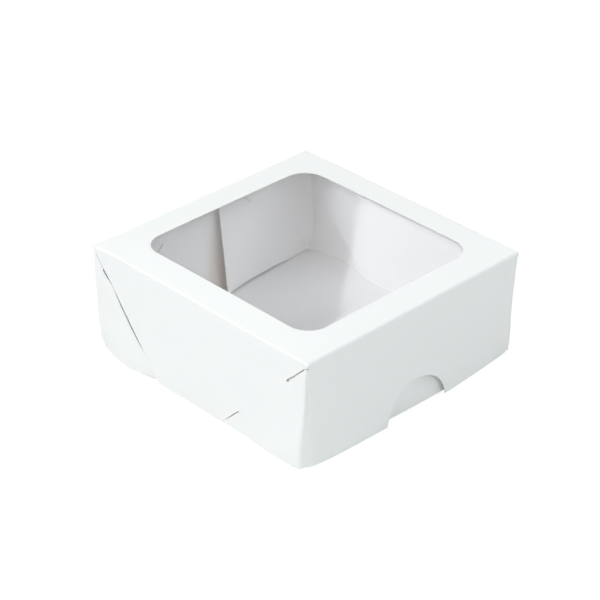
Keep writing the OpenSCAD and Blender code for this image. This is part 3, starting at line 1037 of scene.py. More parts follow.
@dataclass
class Sheet:
    """A sheet cut to flat outlines, divided into a grid and bent into place.

    The flat outlines may touch along edges that they share. The first side of the sheet faces
    out, at depth 0, and the second is one thickness behind it.
    """

    name: str
    outlines: Sequence[Outline]
    place: Place
    pitch: Point
    stock: Stock
    soft: Callable[[float, float], bool] = everywhere
    cuts: Sequence[tuple[int, float]] = ()
    weld: float = 0.08 * MM
    sharp_angle: float = math.radians(24)

    def cut_flat(self) -> bmesh.types.BMesh:
        """Cuts the outlines along a grid.

        Returns:
            The flat sheet, to be freed by the caller.
        """
        flat = bmesh.new()
        for outline in self.outlines:
            pairs = zip(outline, outline[1:] + outline[:1])
            turn = sum(a[0] * b[1] - a[1] * b[0] for a, b in pairs)
            points = outline if turn > 0 else outline[::-1]
            flat.faces.new([flat.verts.new((u, v, 0)) for u, v in points])
        bmesh.ops.remove_doubles(flat, verts=flat.verts, dist=1e-6)
        cuts = list(self.cuts)
        for axis in (0, 1):
            places = [vert.co[axis] for vert in flat.verts]
            low, high = min(places), max(places)
            count = max(1, round((high - low) / self.pitch[axis]))
            cuts += [(axis, place) for place in spread(low, high, count)[1:-1]]
        for axis, place in cuts:
            normal = Vector((1 - axis, axis, 0))
            geom = flat.verts[:] + flat.edges[:] + flat.faces[:]
            at = normal * place
            bmesh.ops.bisect_plane(flat, geom=geom, dist=1e-7, plane_co=at, plane_no=normal)
        self.close_up(flat)
        return flat

    def close_up(self, flat: bmesh.types.BMesh) -> None:
        """Merges points inside the sheet that the grid left too close to its rim.

        Args:
            flat: the flat sheet.
        """
        targets = {}
        for vert in flat.verts:
            near = [e.other_vert(vert) for e in vert.link_edges if e.calc_length() < self.weld]
            if near and not vert.is_boundary:
                targets[vert] = near[0]
        pairs = {a: b for a, b in targets.items() if b not in targets}
        bmesh.ops.weld_verts(flat, targetmap=pairs)

    @staticmethod
    def rim_normals(flat: bmesh.types.BMesh) -> tuple[list[tuple[int, int]], dict[int, Vector]]:
        """Finds the sheet's rim.

        Args:
            flat: the flat sheet.

        Returns:
            The rim's edges, in the order of their faces, and each rim point's outward direction.
        """
        edges = []
        sums: dict[int, list[Vector]] = defaultdict(list)
        rim = [loop for face in flat.faces for loop in face.loops if loop.edge.is_boundary]
        for loop in rim:
            a, b = loop.vert, loop.link_loop_next.vert
            edges.append((a.index, b.index))
            along = (b.co - a.co).normalized()
            for end in (a, b):
                sums[end.index].append(Vector((along.y, -along.x, 0)))
        normals = {}
        for index, parts in sums.items():
            mean = sum(parts, Vector()).normalized()
            normals[index] = mean / max(0.4, mean.dot(parts[0]))
        return edges, normals

    def build(self) -> bpy.types.Object:
        """Makes the bent sheet as an object with four layers of points.

        Returns:
            The object.
        """
        flat = self.cut_flat()
        flat.verts.index_update()
        edges, normals = self.rim_normals(flat)
        points: list[Vector] = []
        layers: list[dict[int, int]] = []
        rim, thickness = self.stock.rim, self.stock.thickness
        for depth in (0.0, rim, thickness - rim, thickness):
            outer = depth in (0.0, thickness)
            numbers = {}
            for vert in flat.verts:
                out = normals.get(vert.index)
                if not outer and out is None:
                    continue
                u, v = vert.co.x, vert.co.y
                if outer and out is not None and self.soft(u, v):
                    u, v = u - out.x * rim, v - out.y * rim
                numbers[vert.index] = len(points)
                points.append(self.place(u, v, depth))
            layers.append(numbers)
        faces: list[list[int]] = []
        skins: list[int] = []
        for face in flat.faces:
            ring = [vert.index for vert in face.verts]
            faces.append([layers[0][i] for i in ring])
            faces.append([layers[3][i] for i in reversed(ring)])
            skins += [Skin.OUTSIDE.value, Skin.INSIDE.value]
        for a, b in edges:
            for upper, lower in zip(layers, layers[1:]):
                faces.append([upper[b], upper[a], lower[a], lower[b]])
                skins.append(Skin.CUT.value)
        flat.free()
        return self.to_object(points, faces, skins)

    def to_object(
        self, points: Sequence[Vector], faces: Sequence[Sequence[int]], skins: Sequence[int]
    ) -> bpy.types.Object:
        """Turns points and faces into an object with smooth panels and crisp edges.

        Args:
            points: places of the vertices.
            faces: numbers of each face's vertices.
            skins: number of each face's material.

        Returns:
            The object.
        """
        mesh = bpy.data.meshes.new(self.name)
        mesh.from_pydata(points, [], faces)
        mesh.polygons.foreach_set("material_index", skins)
        solid = bmesh.new()
        solid.from_mesh(mesh)
        bmesh.ops.recalc_face_normals(solid, faces=solid.faces)
        solid.to_mesh(mesh)
        solid.free()
        for material in self.stock.skins:
            mesh.materials.append(material)
        mesh.shade_smooth()
        mesh.set_sharp_from_angle(angle=self.sharp_angle)
        piece = bpy.data.objects.new(self.name, mesh)
        bpy.context.scene.collection.objects.link(piece)
        return piece


class Assembly:
    """Common ways of a part of the carton."""

    body: Body

    def __init__(self, box: Carton, palette: Palette) -> None:
        """Keeps the sizes and the finishes."""
        self.box = box
        self.palette = palette

    def settle(self, place: Place) -> Place:
        """The places of a sheet once its part has settled, here as they were."""
        return place

    def lay(
        self,
        name: str,
        node: str,
        outlines: Sequence[Outline],
        place: Place,
        pitch: Point,
        slot: Slot = Slot.BOARD,
        **more: Any,
    ) -> bpy.types.Object:
        """Makes a sheet that stands for a CAD node.

        Args:
            name: the piece's name.
            node: the node that it replaces.
            outlines: its flat outlines.
            place: where its points lie.
            pitch: size of its grid.
            slot: the material slot of the record.
            more: further settings of the sheet.

        Returns:
            The piece.
        """
        settled, stock = self.settle(place), self.palette.stock[slot]
        piece = Sheet(name, outlines, settled, pitch, stock, **more).build()
        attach(piece, self.body.value)
        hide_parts(node)
        LOG.info("%s: %d faces", name, len(piece.data.polygons))
        return piece

    def lay_fold(
        self,
        name: str,
        start: float,
        end: float,
        reach: float,
        place: Place,
        step: float,
        **more: Any,
    ) -> None:
        """Makes the strip of board that is a fold.

        Args:
            name: the name of the piece and of its node, without their last words.
            start: where the strip starts along the fold.
            end: where it ends.
            reach: its length round the fold.
            place: where its points lie.
            step: size of its grid along the fold.
            more: further settings of the sheet.
        """
        outline, pitch = oblong(start, end, 0.0, reach), (step, reach / FOLD_ROWS)
        self.lay(f"{name}_fold", f"{name}_crease", [outline], place, pitch, soft=nowhere, **more)

    def stain(self, piece: bpy.types.Object) -> None:
        """Gives the inside of a piece the board with the painted warm shade."""
        piece.data.materials[Skin.INSIDE.value] = self.palette.stained


class Tray(Assembly):
    """The floor, walls, folds and corner flaps that hold the contents."""

    body = Body.TRAY
    grid = (4 * MM, 4 * MM)

    def build(self) -> None:
        """Makes every piece of the tray."""
        self.lay_floor()
        for end in End:
            self.lay_end_wall(end)
            self.lay_floor_end_fold(end)
            self.lay_glue(end)
            for side in Side:
                self.lay_corner_fold(end, side)
                self.lay_corner(end, side)
        for side in Side:
            self.lay_side_wall(side)
            self.lay_floor_side_fold(side)

    def bent(self, end: End, point: Vector, inner: bool = False) -> Vector:
        """Moves a point with the bowed front wall or with the swollen corners at the back.

        Args:
            end: the end that the point belongs to.
            point: the place on the straight walls.
            inner: whether it is on a corner's own layers, which curve off the back wall.

        Returns:
            The place on the bent walls.
        """
        box = self.box
        x, y, z = point
        if end is End.FRONT:
            return Vector((x + box.front_swell(y, z), y, z))
        out = box.corner_out(z) * min(1.0, abs(y) / box.tray_y) ** 3
        if inner and y > 0:
            near = 1 - (box.inner_y - y) / box.corner_reach
            x += box.corner_pull(z) * clamp(near) ** 2
        return Vector((x - out, y + math.copysign(out, y), z))

    def lay_floor(self) -> None:
        """The floor panel."""
        box = self.box
        back = -box.end_x(box.fold_out, box.fold_out)
        front = box.end_x(box.front_depth + box.fold_out, box.fold_out)
        y = box.inner_y

        def place(u: float, v: float, d: float) -> Vector:
            """A point of the floor, which follows the bowed and swollen walls."""
            share = max(0.0, u / front) ** 4
            across = v + math.copysign(box.low_swell(u, 0) * (abs(v) / y) ** 4, v)
            return Vector((u + box.front_swell(v, d) * share, across, d))

        outline, pitch = oblong(back, front, -y, y), (5 * MM, 5 * MM)
        self.lay("floor_board", "floor_panel", [outline], place, pitch, soft=nowhere)

    def lay_end_wall(self, end: End) -> None:
        """The wall at the hinge, which is lower for the hinge's ridge, or at the front.

        Args:
            end: the end of the box.
        """
        box = self.box
        depth, drop, room, y = box.front_depth, 0.0, 0.0, box.tray_y
        top = box.end_z(depth, box.tray_top)
        if end is End.BACK:
            bead = box.board / 2
            depth, drop = 0.0, box.ridge_growth
            top = box.end_z(bead, box.height - bead) - bead - box.ridge - box.hinge_room
            room = 0.7 * box.corner_out(top)
            y -= box.back_wall_short
        foot = box.end_z(depth + box.fold_out, box.fold_out)

        def place(u: float, v: float, d: float) -> Vector:
            """A point of the wall, whose top is lower near the swollen corners."""
            low = room * min(1.0, abs(u) / box.tray_y) ** 3 * smooth(v, top - box.low_top_run, top)
            return self.bent(end, box.at_end(end, depth + d, u, v - low))

        outline = [(-y, foot), (y, foot), (y, top - drop), (-y, top)]
        name = f"{end.word}_wall"
        piece = self.lay(
            f"{name}_board", name, [outline], place, self.grid, soft=lambda u, v: v > foot + MM
        )
        if end is End.BACK:
            # The back wall's inside gets the painted warm shade beside the sprung flap's free
            # edge.
            self.stain(piece)

    def lay_side_wall(self, side: Side) -> None:
        """The upright wall at one side, with a narrow gap to the lid's slanted free end.

        Args:
            side: the side of the box.
        """
        box = self.box
        low, top = box.fold_out, box.tray_top
        back = box.flap_depth(End.BACK) + box.fold_out
        front = box.flap_depth(End.FRONT) + box.fold_out
        near = [(box.bank_x(z), z) for z in spread(low, top, 56)]
        far = [(x + box.gap_depth, z) for x, z in near]
        swollen = [(-box.end_x(back, low), low)] + near + [(-box.end_x(back, top), top)]
        covered = far + [(box.end_x(front, z), z) for z in (top, low)]
        pull_start = box.corner_curve_start

        def place(u: float, v: float, d: float) -> Vector:
            """A point of the wall, with its swollen part and the lip over the gap."""
            x = u - box.corner_drift(u, v)
            if side is Side.RIGHT:
                end = (-u - pull_start) / (box.foot_x - pull_start)
                x += box.corner_pull(v) * clamp(end) ** 3
            low = smooth(v, top - box.low_corner_run, top)
            v -= 2 * box.corner_room * box.corner_share(u, v) * low
            outer = d < box.board / 2
            if outer:
                x -= box.lip_shift(u, v)
            return Vector((x, side.value * (box.tray_y - d + box.side_swell(u, v, outer)), v))

        outlines, pitch = [swollen, near + far[::-1], covered], (5 * MM, 5 * MM)
        name = f"{side.word}_wall"
        self.lay(f"{name}_board", name, outlines, place, pitch, soft=lambda u, v: v > top - MM)

    def lay_floor_end_fold(self, end: End) -> None:
        """The fold between the floor and an end wall.

        Args:
            end: the end of the box.
        """
        box = self.box
        depth = 0.0 if end is End.BACK else box.front_depth
        centre = box.end_x(depth + box.fold_out, box.fold_out)
        y = box.inner_y

        def place(u: float, v: float, d: float) -> Vector:
            """A point of the fold, bent with its wall."""
            angle = -math.pi / 2 + v / box.fold_out
            r = box.fold_out - d
            x = centre + r * math.cos(angle)
            return self.bent(end, Vector((end.value * x, u, box.fold_out + r * math.sin(angle))))

        reach = (math.pi / 2 - box.lean) * box.fold_out
        self.lay_fold(f"floor_{end.word}", -y, y, reach, place, 5 * MM)

    def lay_floor_side_fold(self, side: Side) -> None:
        """The fold between the floor and a side wall.

        Args:
            side: the side of the box.
        """
        box = self.box
        back = -box.end_x(box.flap_depth(End.BACK) + box.fold_out, box.fold_out)
        front = box.end_x(box.flap_depth(End.FRONT) + box.fold_out, box.fold_out)

        def place(u: float, v: float, d: float) -> Vector:
            """A point of the fold, swollen with the wall's foot."""
            angle = -math.pi / 2 + v / box.fold_out
            r = box.fold_out - d
            across = box.inner_y + r * math.cos(angle) + box.low_swell(u, v / math.pi)
            return Vector((u, side.value * across, box.fold_out + r * math.sin(angle)))

        self.lay_fold(f"floor_{side.word}", back, front, box.quarter, place, 4 * MM)

    def lay_glue(self, end: End) -> None:
        """The glue between an end wall and its corner flaps.

        Args:
            end: the end of the box.
        """
        box = self.box
        flap, depth = box.inner_y - box.flap_clear, box.flap_depth(end)
        wide, high = flap * 0.3, box.height * 0.2
        low = box.end_z(depth + box.board, box.fold_out + box.lid_gap) + box.diagonal_rise
        spots = {Side.LEFT: (flap / 2, low), Side.RIGHT: (flap / 2, low)}
        if end is End.BACK:
            spots[Side.RIGHT] = (box.diagonal_rise, box.height * 0.6)
        outlines = []
        for side, (start, foot) in spots.items():
            near = side.value * (box.inner_y - start)
            far = side.value * (box.inner_y - start - wide)
            outlines.append(oblong(near, far, foot, foot + high))

        def place(u: float, v: float, d: float) -> Vector:
            """A point of the glue, just outside the flaps."""
            point = box.at_end(end, depth - box.glue + d, u, v)
            return self.bent(end, point, inner=True)

        name = f"{end.word}_wall_glue"
        self.lay(name, "tray_glue_spots", outlines, place, self.grid, Slot.GLUE)

    def corner_top(self, end: End) -> float:
        """Height of the corner pieces along an end's leaning face."""
        top = self.box.end_z(self.box.flap_depth(end), self.box.tray_top)
        return top - (self.box.corner_room if end is End.BACK else 0.0)

    def lay_corner_fold(self, end: End, side: Side) -> None:
        """The upright fold of one corner, with a bead along its inside.

        Args:
            end: the end of the box.
            side: the side of the box.
        """
        box = self.box
        depth = box.flap_depth(end)

        def place(u: float, v: float, d: float) -> Vector:
            """A point of the fold, from the side wall round to the flap."""
            angle = v / box.fold_out
            bead = box.crease_bead * math.sin(2 * angle) ** 2 * smooth(u, *box.crease_bead_rows)
            r = box.fold_out - d - bead * max(0.0, d - box.board / 2) * 2 / box.board
            across = box.inner_y + r * math.cos(angle)
            at = depth + box.fold_out - r * math.sin(angle)
            return self.bent(end, box.at_end(end, at, side.value * across, u), inner=True)

        low = box.end_z(depth + box.fold_out, box.fold_out * 0.4)
        name = f"{end.word}_{side.word}_corner"
        self.lay_fold(name, low, self.corner_top(end), box.quarter, place, 8 * MM)

    def lay_corner(self, end: End, side: Side) -> None:
        """The gusset and the flap of one corner, on both sides of its diagonal fold.

        Args:
            end: the end of the box.
            side: the side of the box.
        """
        box = self.box
        depth, top = box.flap_depth(end), self.corner_top(end)
        foot = box.end_z(depth + box.board, box.fold_out + box.lid_gap)
        length, slit = box.inner_y - box.flap_clear, (top - box.short_slit, top + box.slit)
        long = end is End.BACK and side is Side.LEFT
        sprung = end is End.BACK and side is Side.RIGHT
        if long:
            length = box.inner_y + box.flap_clear + box.flap_lap
            high_end = top - box.long_slit_drop
            slit = (high_end - box.long_slit, high_end)
        elif sprung:
            slit = (top - box.sprung_slit, slit[1])

        def plate(u: float, v: float, d: float) -> Vector:
            """A point of the flat gusset and flap."""
            point = box.at_end(end, depth + d, side.value * (box.inner_y - u), v)
            return self.bent(end, point, inner=True)

        def free(u: float, v: float) -> bool:
            """Whether the board is cut there, not folded."""
            return v > slit[0] or abs(u - v + box.diagonal_rise) > 0.2 * MM

        gusset, flap = self.corner_outlines(length, foot, top, slit)
        if long:
            flap = self.make_room(flap, length, top)
        name = f"{end.word}_{side.word}"
        place = self.spring(plate) if sprung else plate
        self.lay(f"{name}_gusset_board", f"{name}_gusset", [gusset], plate, self.grid, soft=free)
        piece = self.lay(f"{name}_flap_board", f"{name}_flap", [flap], place, self.grid, soft=free)
        if long:
            # The long flap's inside gets the painted warm shade beside the sprung flap's free
            # edge.
            self.stain(piece)

    def corner_outlines(
        self, length: float, foot: float, top: float, slit: Point
    ) -> tuple[Outline, Outline]:
        """Outlines of a corner's gusset and flap, on both sides of its diagonal fold.

        Args:
            length: length of the flap from the corner fold.
            foot: height of its lower edge.
            top: height of its upper edge.
            slit: heights where the slit in the diagonal fold starts and ends.

        Returns:
            The two outlines, with the distance from the corner fold first.
        """
        rise, half = self.box.diagonal_rise, self.box.corner_slit_half
        low, high = slit

        def bank(offset: float) -> Outline:
            """One bank of the slit, and the fold up to the top if the slit ends below it."""
            line = [(low - rise, low), (low - rise + offset, low + abs(offset))]
            if high > top:
                return line + [(top - rise + offset, top)]
            return line + [
                (high - rise + offset, high - abs(offset)),
                (high - rise, high),
                (top - rise, top),
            ]

        close, (near, far) = self.box.corner_foot_close, self.box.corner_foot_step
        gusset = [(0.0, rise)] + bank(-half) + [(0.0, top)]
        flap = [(0.0, rise)] + bank(half) + [(length, top), (length, foot), (far, foot)]
        return gusset, flap + [(near, foot - close), (rise + close, foot - close)]

    def make_room(self, flap: Outline, length: float, top: float) -> Outline:
        """Cuts the end of the long flap off where the sprung flap leaves no room.

        Args:
            flap: the flap's outline.
            length: its length.
            top: height of its upper edge.

        Returns:
            The outline without its end.
        """
        box = self.box
        room = (box.board + box.spring_gap) / math.sin(box.spring_angle) * math.sqrt(2)
        limit = 2 * box.inner_y + box.diagonal_rise - room
        at = flap.index((length, top))
        return flap[:at] + [(limit - top, top), (length, limit - length)] + flap[at + 1 :]

    def spring(self, plate: Place) -> Place:
        """Swings a corner flap in about its diagonal fold, with a slight curl to its end.

        Args:
            plate: where the flat flap lies.

        Returns:
            Where the sprung flap lies.
        """
        box = self.box
        rise, run = box.diagonal_rise, box.inner_y - box.flap_clear - box.curl_start

        def place(u: float, v: float, d: float) -> Vector:
            """A point of the sprung flap."""
            arm = Vector((d - box.board, u, v - rise))
            turned = Matrix.Rotation(-box.spring_angle, 3, Vector((0, 1, 1))) @ arm
            curl = box.flap_curl * (max(0.0, u - box.curl_start) / run) ** 2
            return plate(turned.y + curl * 0.9, turned.z + rise, turned.x + box.board + curl)

        return place


class Lid(Assembly):
    """The hinged lid with its window, its flaps and the tabs behind the front flap."""

    body = Body.LID
    grid = (3 * MM, 3 * MM)
    bowed_grid = (1.6 * MM, 3 * MM)

    def build(self) -> None:
        """Makes every piece of the lid."""
        self.lay_panel()
        self.lay_film()
        self.lay_hinge()
        self.lay_film_glue()
        self.lay_tab_glue()
        self.lay_front_fold()
        self.lay_front_flap()
        for side in Side:
            self.lay_side_fold(side)
            self.lay_side_flap(side)
            self.lay_corner_fold(side)
            self.lay_tab(side)

    def settle(self, place: Place) -> Place:
        """The places of a sheet of the straight lid, risen with the lid's rim."""
        return lambda u, v, d: self.box.settled(place(u, v, d))

    def half_window(self, grow: float, side: Side) -> Outline:
        """Half of the window's outline, from its back to its front.

        Args:
            grow: how much larger than the window it is, all round.
            side: the half that it is.

        Returns:
            The points, which start and end on the middle line.
        """
        x, y = self.box.window_x + grow, self.box.window_y + grow
        r = self.box.window_corner + grow
        back, front = arc((r - x, y - r), r, 180, 90, 12), arc((x - r, y - r), r, 90, 0, 12)
        return [(px, side.value * py) for px, py in [(-x, 0.0)] + back + front + [(x, 0.0)]]

    def lay_panel(self) -> None:
        """The crowned top with its window."""
        box = self.box
        halves = []
        for side in Side:
            front = [(self.front_edge(y), y) for y in spread(0, box.lid_y, 16)]
            edge = [(x, self.side_edge(x)) for x in spread(box.lid_front_x, box.lid_back_x, 32)]
            outer = front + edge[1:] + [(box.lid_back_x, 0.0)]
            halves.append([(x, side.value * y) for x, y in outer] + self.half_window(0.0, side))

        def place(u: float, v: float, d: float) -> Vector:
            """A point of the crowned panel."""
            return Vector((u, v, box.height - d + box.crown(u, v)))

        def by_window(u: float, v: float) -> bool:
            """Whether the board is cut there for the window, not folded."""
            return abs(u) < box.window_x + MM and abs(v) < box.window_y + MM

        self.lay("lid_top_board", "lid_panel", halves, place, self.grid, soft=by_window)

    def front_edge(self, y: float) -> float:
        """Where the panel ends at the front fold, past its straight line where it tilts."""
        tilt = self.box.rim_tilt(y / self.box.lid_y, self.box.lid_half_x)
        return self.box.lid_front_x + self.box.fold_out * math.sin(tilt)

    def side_edge(self, x: float) -> float:
        """Where the panel ends at a side fold, past its straight line where it tilts."""
        return self.box.lid_y + self.box.fold_out * math.sin(self.side_tilt(x))

    def side_tilt(self, x: float) -> float:
        """Angle by which the panel rises from a side fold."""
        return self.box.rim_tilt((x - self.box.lid_mid_x) / self.box.lid_half_x, self.box.lid_y)

    def lay_film(self) -> None:
        """The clear film, drawn close to flat across the window, with slack waves in it."""
        box = self.box
        halves = [self.half_window(box.film_overlap, side) for side in Side]
        top = box.height - box.board - box.glue
        wave_x, wave_y = box.film_wave_run
        swell_x, swell_y = box.film_swell_run

        def place(u: float, v: float, d: float) -> Vector:
            """A point of the slack film."""
            inside = fade((u / box.window_x) ** 4) * fade((v / box.window_y) ** 4)
            wave = box.film_wave * math.sin(u / wave_x + 0.6 * math.sin(v / wave_y))
            swell = box.film_swell * math.sin(v / swell_y + 1.1 + u / swell_x)
            z = top - d + box.crown(u, v) - box.film_drop(u, v) + (wave + swell) * inside
            return Vector((u, v, z))

        pitch = (2 * MM, 2 * MM)
        self.lay("window_film_sheet", "window_film", halves, place, pitch, Slot.FILM)

    def lay_film_glue(self) -> None:
        """The ring of glue between the film and the panel."""
        box = self.box
        wide, tight = box.film_overlap, box.film_overlap / 2
        rings = [self.half_window(wide, s) + self.half_window(tight, s)[::-1] for s in Side]

        def place(u: float, v: float, d: float) -> Vector:
            """A point of the glue under the crowned panel."""
            return Vector((u, v, box.height - box.board - d + box.crown(u, v)))

        self.lay("film_glue", "film_glue_ring", rings, place, self.grid, Slot.GLUE)

    def lay_hinge(self) -> None:
        """The fold that the lid turns on, a ridge that stands a little over the flat lid."""
        box = self.box
        axis_z = box.height - box.board / 2
        reach = math.pi * (box.board / 2 + box.ridge)

        def place(u: float, v: float, d: float) -> Vector:
            """A point of the fold, or of the strip that joins it to the panel."""
            r = box.board / 2 + box.ridge_rise(u) - d
            angle = math.pi / 2 + math.pi * max(0.0, v) / reach
            x = box.hinge_x + r * math.cos(angle) - min(0.0, v)
            z = axis_z + r * math.sin(angle)
            return Vector((x, u, z - box.raised(x, u, z)))

        y = box.lid_y + 0.5 * box.fold_out
        outline, pitch = oblong(-y, y, -box.board, reach), (3 * MM, reach / 12)
        more = {"soft": nowhere, "cuts": [(1, 0.0)]}
        self.lay("hinge_fold", "hinge_crease", [outline], place, pitch, **more)

    def lay_front_fold(self) -> None:
        """The fold between the panel and the front flap."""
        box = self.box
        reach = (math.pi / 2 + box.lean) * box.fold_out

        def place(u: float, v: float, d: float) -> Vector:
            """A point of the fold, from the flap up to the tilted panel."""
            turn = math.pi / 2 - box.rim_tilt(u / box.lid_y, box.lid_half_x) + box.lean
            angle = -box.lean + turn * v / reach
            r = box.fold_out - d
            x = box.lid_front_x + r * math.cos(angle)
            return Vector((x, u, box.fold_z + r * math.sin(angle)))

        self.lay_fold("lid_front", -box.lid_y, box.lid_y, reach, place, 4 * MM)

    def on_front(self, u: float, v: float, d: float) -> Vector:
        """A point at a depth behind the outer face of the bowed front flap."""
        return self.box.at_end(End.FRONT, d - self.box.bow(u, v), u, v)

    def lay_front_flap(self) -> None:
        """The bowed front flap with its thumb notch."""
        box = self.box
        foot, head, clip = box.end_z(0, box.flap_lift), box.flap_head_z, box.front_clip
        centre = (box.notch_shift, foot + box.notch_height - box.notch_radius)
        drop = math.degrees(math.asin((foot - centre[1]) / box.notch_radius))
        notch = arc(centre, box.notch_radius, 180 - drop, drop, 28)
        left = [(-box.lid_y + self.lens_edge(z), z) for z in spread(foot + clip, head, 24)]
        outline = [(left[0][0] + clip, foot)] + notch + [(box.lid_y - clip, foot)]
        outline += [(box.lid_y, foot + clip), (box.lid_y, head)] + left[::-1]
        self.lay(
            "lid_front_flap_board",
            "lid_front_flap",
            [outline],
            self.on_front,
            self.bowed_grid,
            soft=lambda u, v: v < head - MM,
        )

    def lens_edge(self, z: float) -> float:
        """How far the front flap's left edge stays short of the corner, or covers its foot."""
        box = self.box
        foot, middle, head = box.lens_rows
        short = box.lens_short * smooth(z, foot, middle) * (1 - smooth(z, middle, head))
        return short - box.lens_over * (1 - smooth(z, *box.lens_over_rows))

    def lay_tab_glue(self) -> None:
        """The glue between the front flap and the tabs behind it."""
        box = self.box
        near, far = box.lid_y - 3 * MM, box.lid_y - box.tab_length * 0.8
        low, high = box.height * 0.25, box.height * 0.75
        spots = [oblong(s.value * near, s.value * far, low, high) for s in Side]

        def place(u: float, v: float, d: float) -> Vector:
            """A point of the glue, one sheet of board behind the flap's face."""
            return self.on_front(u, v, box.board + d)

        self.lay("lid_tab_glue", "lid_glue_spots", spots, place, self.bowed_grid, Slot.GLUE)

    def lay_side_fold(self, side: Side) -> None:
        """The fold between the panel and a side flap.

        Args:
            side: the side of the box.
        """
        box = self.box

        def place(u: float, v: float, d: float) -> Vector:
            """A point of the fold, whose front end turns round the corner."""
            angle = (math.pi / 2 - self.side_tilt(u)) * v / box.quarter
            round_off = max(0.0, u - box.lid_front_x) / box.fold_out
            r = box.fold_out - d
            x = min(u, box.lid_front_x) + r * math.sin(round_off)
            r *= math.cos(round_off)
            across = box.lid_y + r * math.cos(angle)
            return Vector((x, side.value * across, box.fold_z + r * math.sin(angle)))

        back, front = 0.1 * MM - box.length / 2, box.lid_front_x + box.side_fold_end * box.fold_out
        name, cuts = f"lid_{side.word}", self.round_cuts()
        self.lay_fold(name, back, front, box.quarter, place, 4 * MM, cuts=cuts)

    def round_cuts(self) -> list[tuple[int, float]]:
        """Extra cuts where a side's board turns round the front corner."""
        box = self.box
        return [(0, box.lid_front_x + share * box.fold_out) for share in spread(0, 1.25, 5)]

    def diagonal(self, height: float, offset: float = 0.0) -> Point:
        """A point at a height on a side flap's diagonal fold, or off it towards the flap."""
        shift = offset / math.sqrt(2)
        return self.box.diagonal_x + height - shift, height + shift

    def off_diagonal(self, u: float, v: float) -> bool:
        """Whether a point of a side flap is not on its unslit diagonal fold."""
        return abs(u - v - self.box.diagonal_x) > 0.05 * MM

    def slit_bank(self, hand: int) -> Outline:
        """One bank of the slits in a side flap's diagonal fold, from its foot to its top.

        Args:
            hand: 1 for the flap's bank and -1 for the gusset's.

        Returns:
            The points along X and Z.
        """
        box = self.box
        half, mouth, low_end = box.slit / 2, box.slit_mouth / 2, box.slit_lower
        thin = half * 0.75
        top = box.gusset_top[1]
        run = box.slit_upper / math.sqrt(2)
        mouth_z = top - run - mouth / math.sqrt(2)
        points = [self.diagonal(box.flap_lift, hand * thin * 0.3)]
        points += [self.diagonal(low_end - 3 * half, hand * thin), self.diagonal(low_end)]
        points.append(self.diagonal(mouth_z))
        for share in (0.35, 0.75, 1.0):
            lift = mouth_z + 1.2 * mouth * (1 - math.sqrt(1 - share**2))
            points.append(self.diagonal(lift, hand * mouth * share))
        points.append(self.diagonal(top - 0.65 * run, hand * thin * 1.3))
        if hand < 0:
            spur = self.diagonal(top - 0.55 * run, -thin * 1.2)
            points += [(spur[0] - 0.25 * MM, spur[1] - 0.9 * MM), spur]
        points.append(self.diagonal(top, hand * thin))
        return points

    def side_place(self, side: Side) -> Place:
        """Where a point of a side flap lies, standing out at its foot.

        Args:
            side: the side of the box.

        Returns:
            The places of the flap and of its gusset.
        """
        box = self.box
        edge, corner = box.lid_front_x, side.value * (box.lid_y + box.fold_out)

        def place(u: float, v: float, d: float) -> Vector:
            """A point of the flap, whose front end turns round the corner."""
            turn = max(0.0, u - edge) / box.fold_out
            r, front = box.fold_out - d, box.tab_x(v)
            out = box.bulge(u, v) + box.gusset_swell(u, v)
            x = min(u, edge) + r * math.sin(turn)
            x += box.bow(corner, v) * smooth(u, front - box.round_start, front)
            return Vector((x, side.value * (box.lid_y + r * math.cos(turn) + out), v))

        return place

    def lay_side_flap(self, side: Side) -> None:
        """A side flap with its slanted free end, and the gusset in front of it.

        Args:
            side: the side of the box.
        """
        box = self.box
        start, top_z = -box.length / 2, box.gusset_top[1]
        front = box.lid_front_x + box.side_flap_end * box.fold_out
        flap = [
            (start + box.slant_top, box.fold_z),
            (start + box.slant_start, box.knee_z),
            (start + box.slant_foot, box.flap_lift),
        ]
        flap += self.slit_bank(1) + [(front, top_z + 0.8 * MM), (front, box.fold_z)]
        gusset = self.slit_bank(-1) + [box.gusset_top, (box.tab_x(box.flap_lift), box.flap_lift)]
        rows = [(1, z) for z in spread(34 * MM, box.fold_z, 12)[:-1]]

        def flap_soft(u: float, v: float) -> bool:
            """Whether the flap is cut there, not folded."""
            return v < box.fold_z - box.fold_step and self.off_diagonal(u, v)

        def gusset_soft(u: float, v: float) -> bool:
            """Whether the gusset is cut there, not folded."""
            return u < box.tab_x(v) - box.fold_step and self.off_diagonal(u, v)

        place, pitch = self.side_place(side), (4 * MM, 4 * MM)
        name, cuts = f"lid_{side.word}_flap", self.round_cuts() + rows
        self.lay(f"{name}_board", name, [flap], place, pitch, soft=flap_soft, cuts=cuts)
        name = f"lid_{side.word}_gusset"
        self.lay(f"{name}_board", name, [gusset], place, pitch, soft=gusset_soft)

    def corner_span(self) -> Point:
        """Heights of the foot and the head of a corner fold along the leaning front."""
        box = self.box
        depth = box.tab_depth + box.fold_out
        return box.end_z(depth, box.flap_lift), box.end_z(depth, box.gusset_top[1])

    def corner_swell(self, z: float) -> float:
        """How far a corner fold stands out with its gusset."""
        return self.box.gusset_swell(self.box.tab_x(z), z)

    def lay_corner_fold(self, side: Side) -> None:
        """The upright fold of a front corner.

        Args:
            side: the side of the box.
        """
        box = self.box

        def place(u: float, v: float, d: float) -> Vector:
            """A point of the fold, from the gusset round to the tab."""
            angle, r = v / box.fold_out, box.fold_out - d
            flat = box.lid_y + r * math.cos(angle)
            depth = box.tab_depth + box.fold_out - r * math.sin(angle)
            across = side.value * (flat + self.corner_swell(u))
            return box.at_end(End.FRONT, depth - box.bow(side.value * flat, u), across, u)

        self.lay_fold(f"lid_{side.word}_corner", *self.corner_span(), box.quarter, place, 4 * MM)

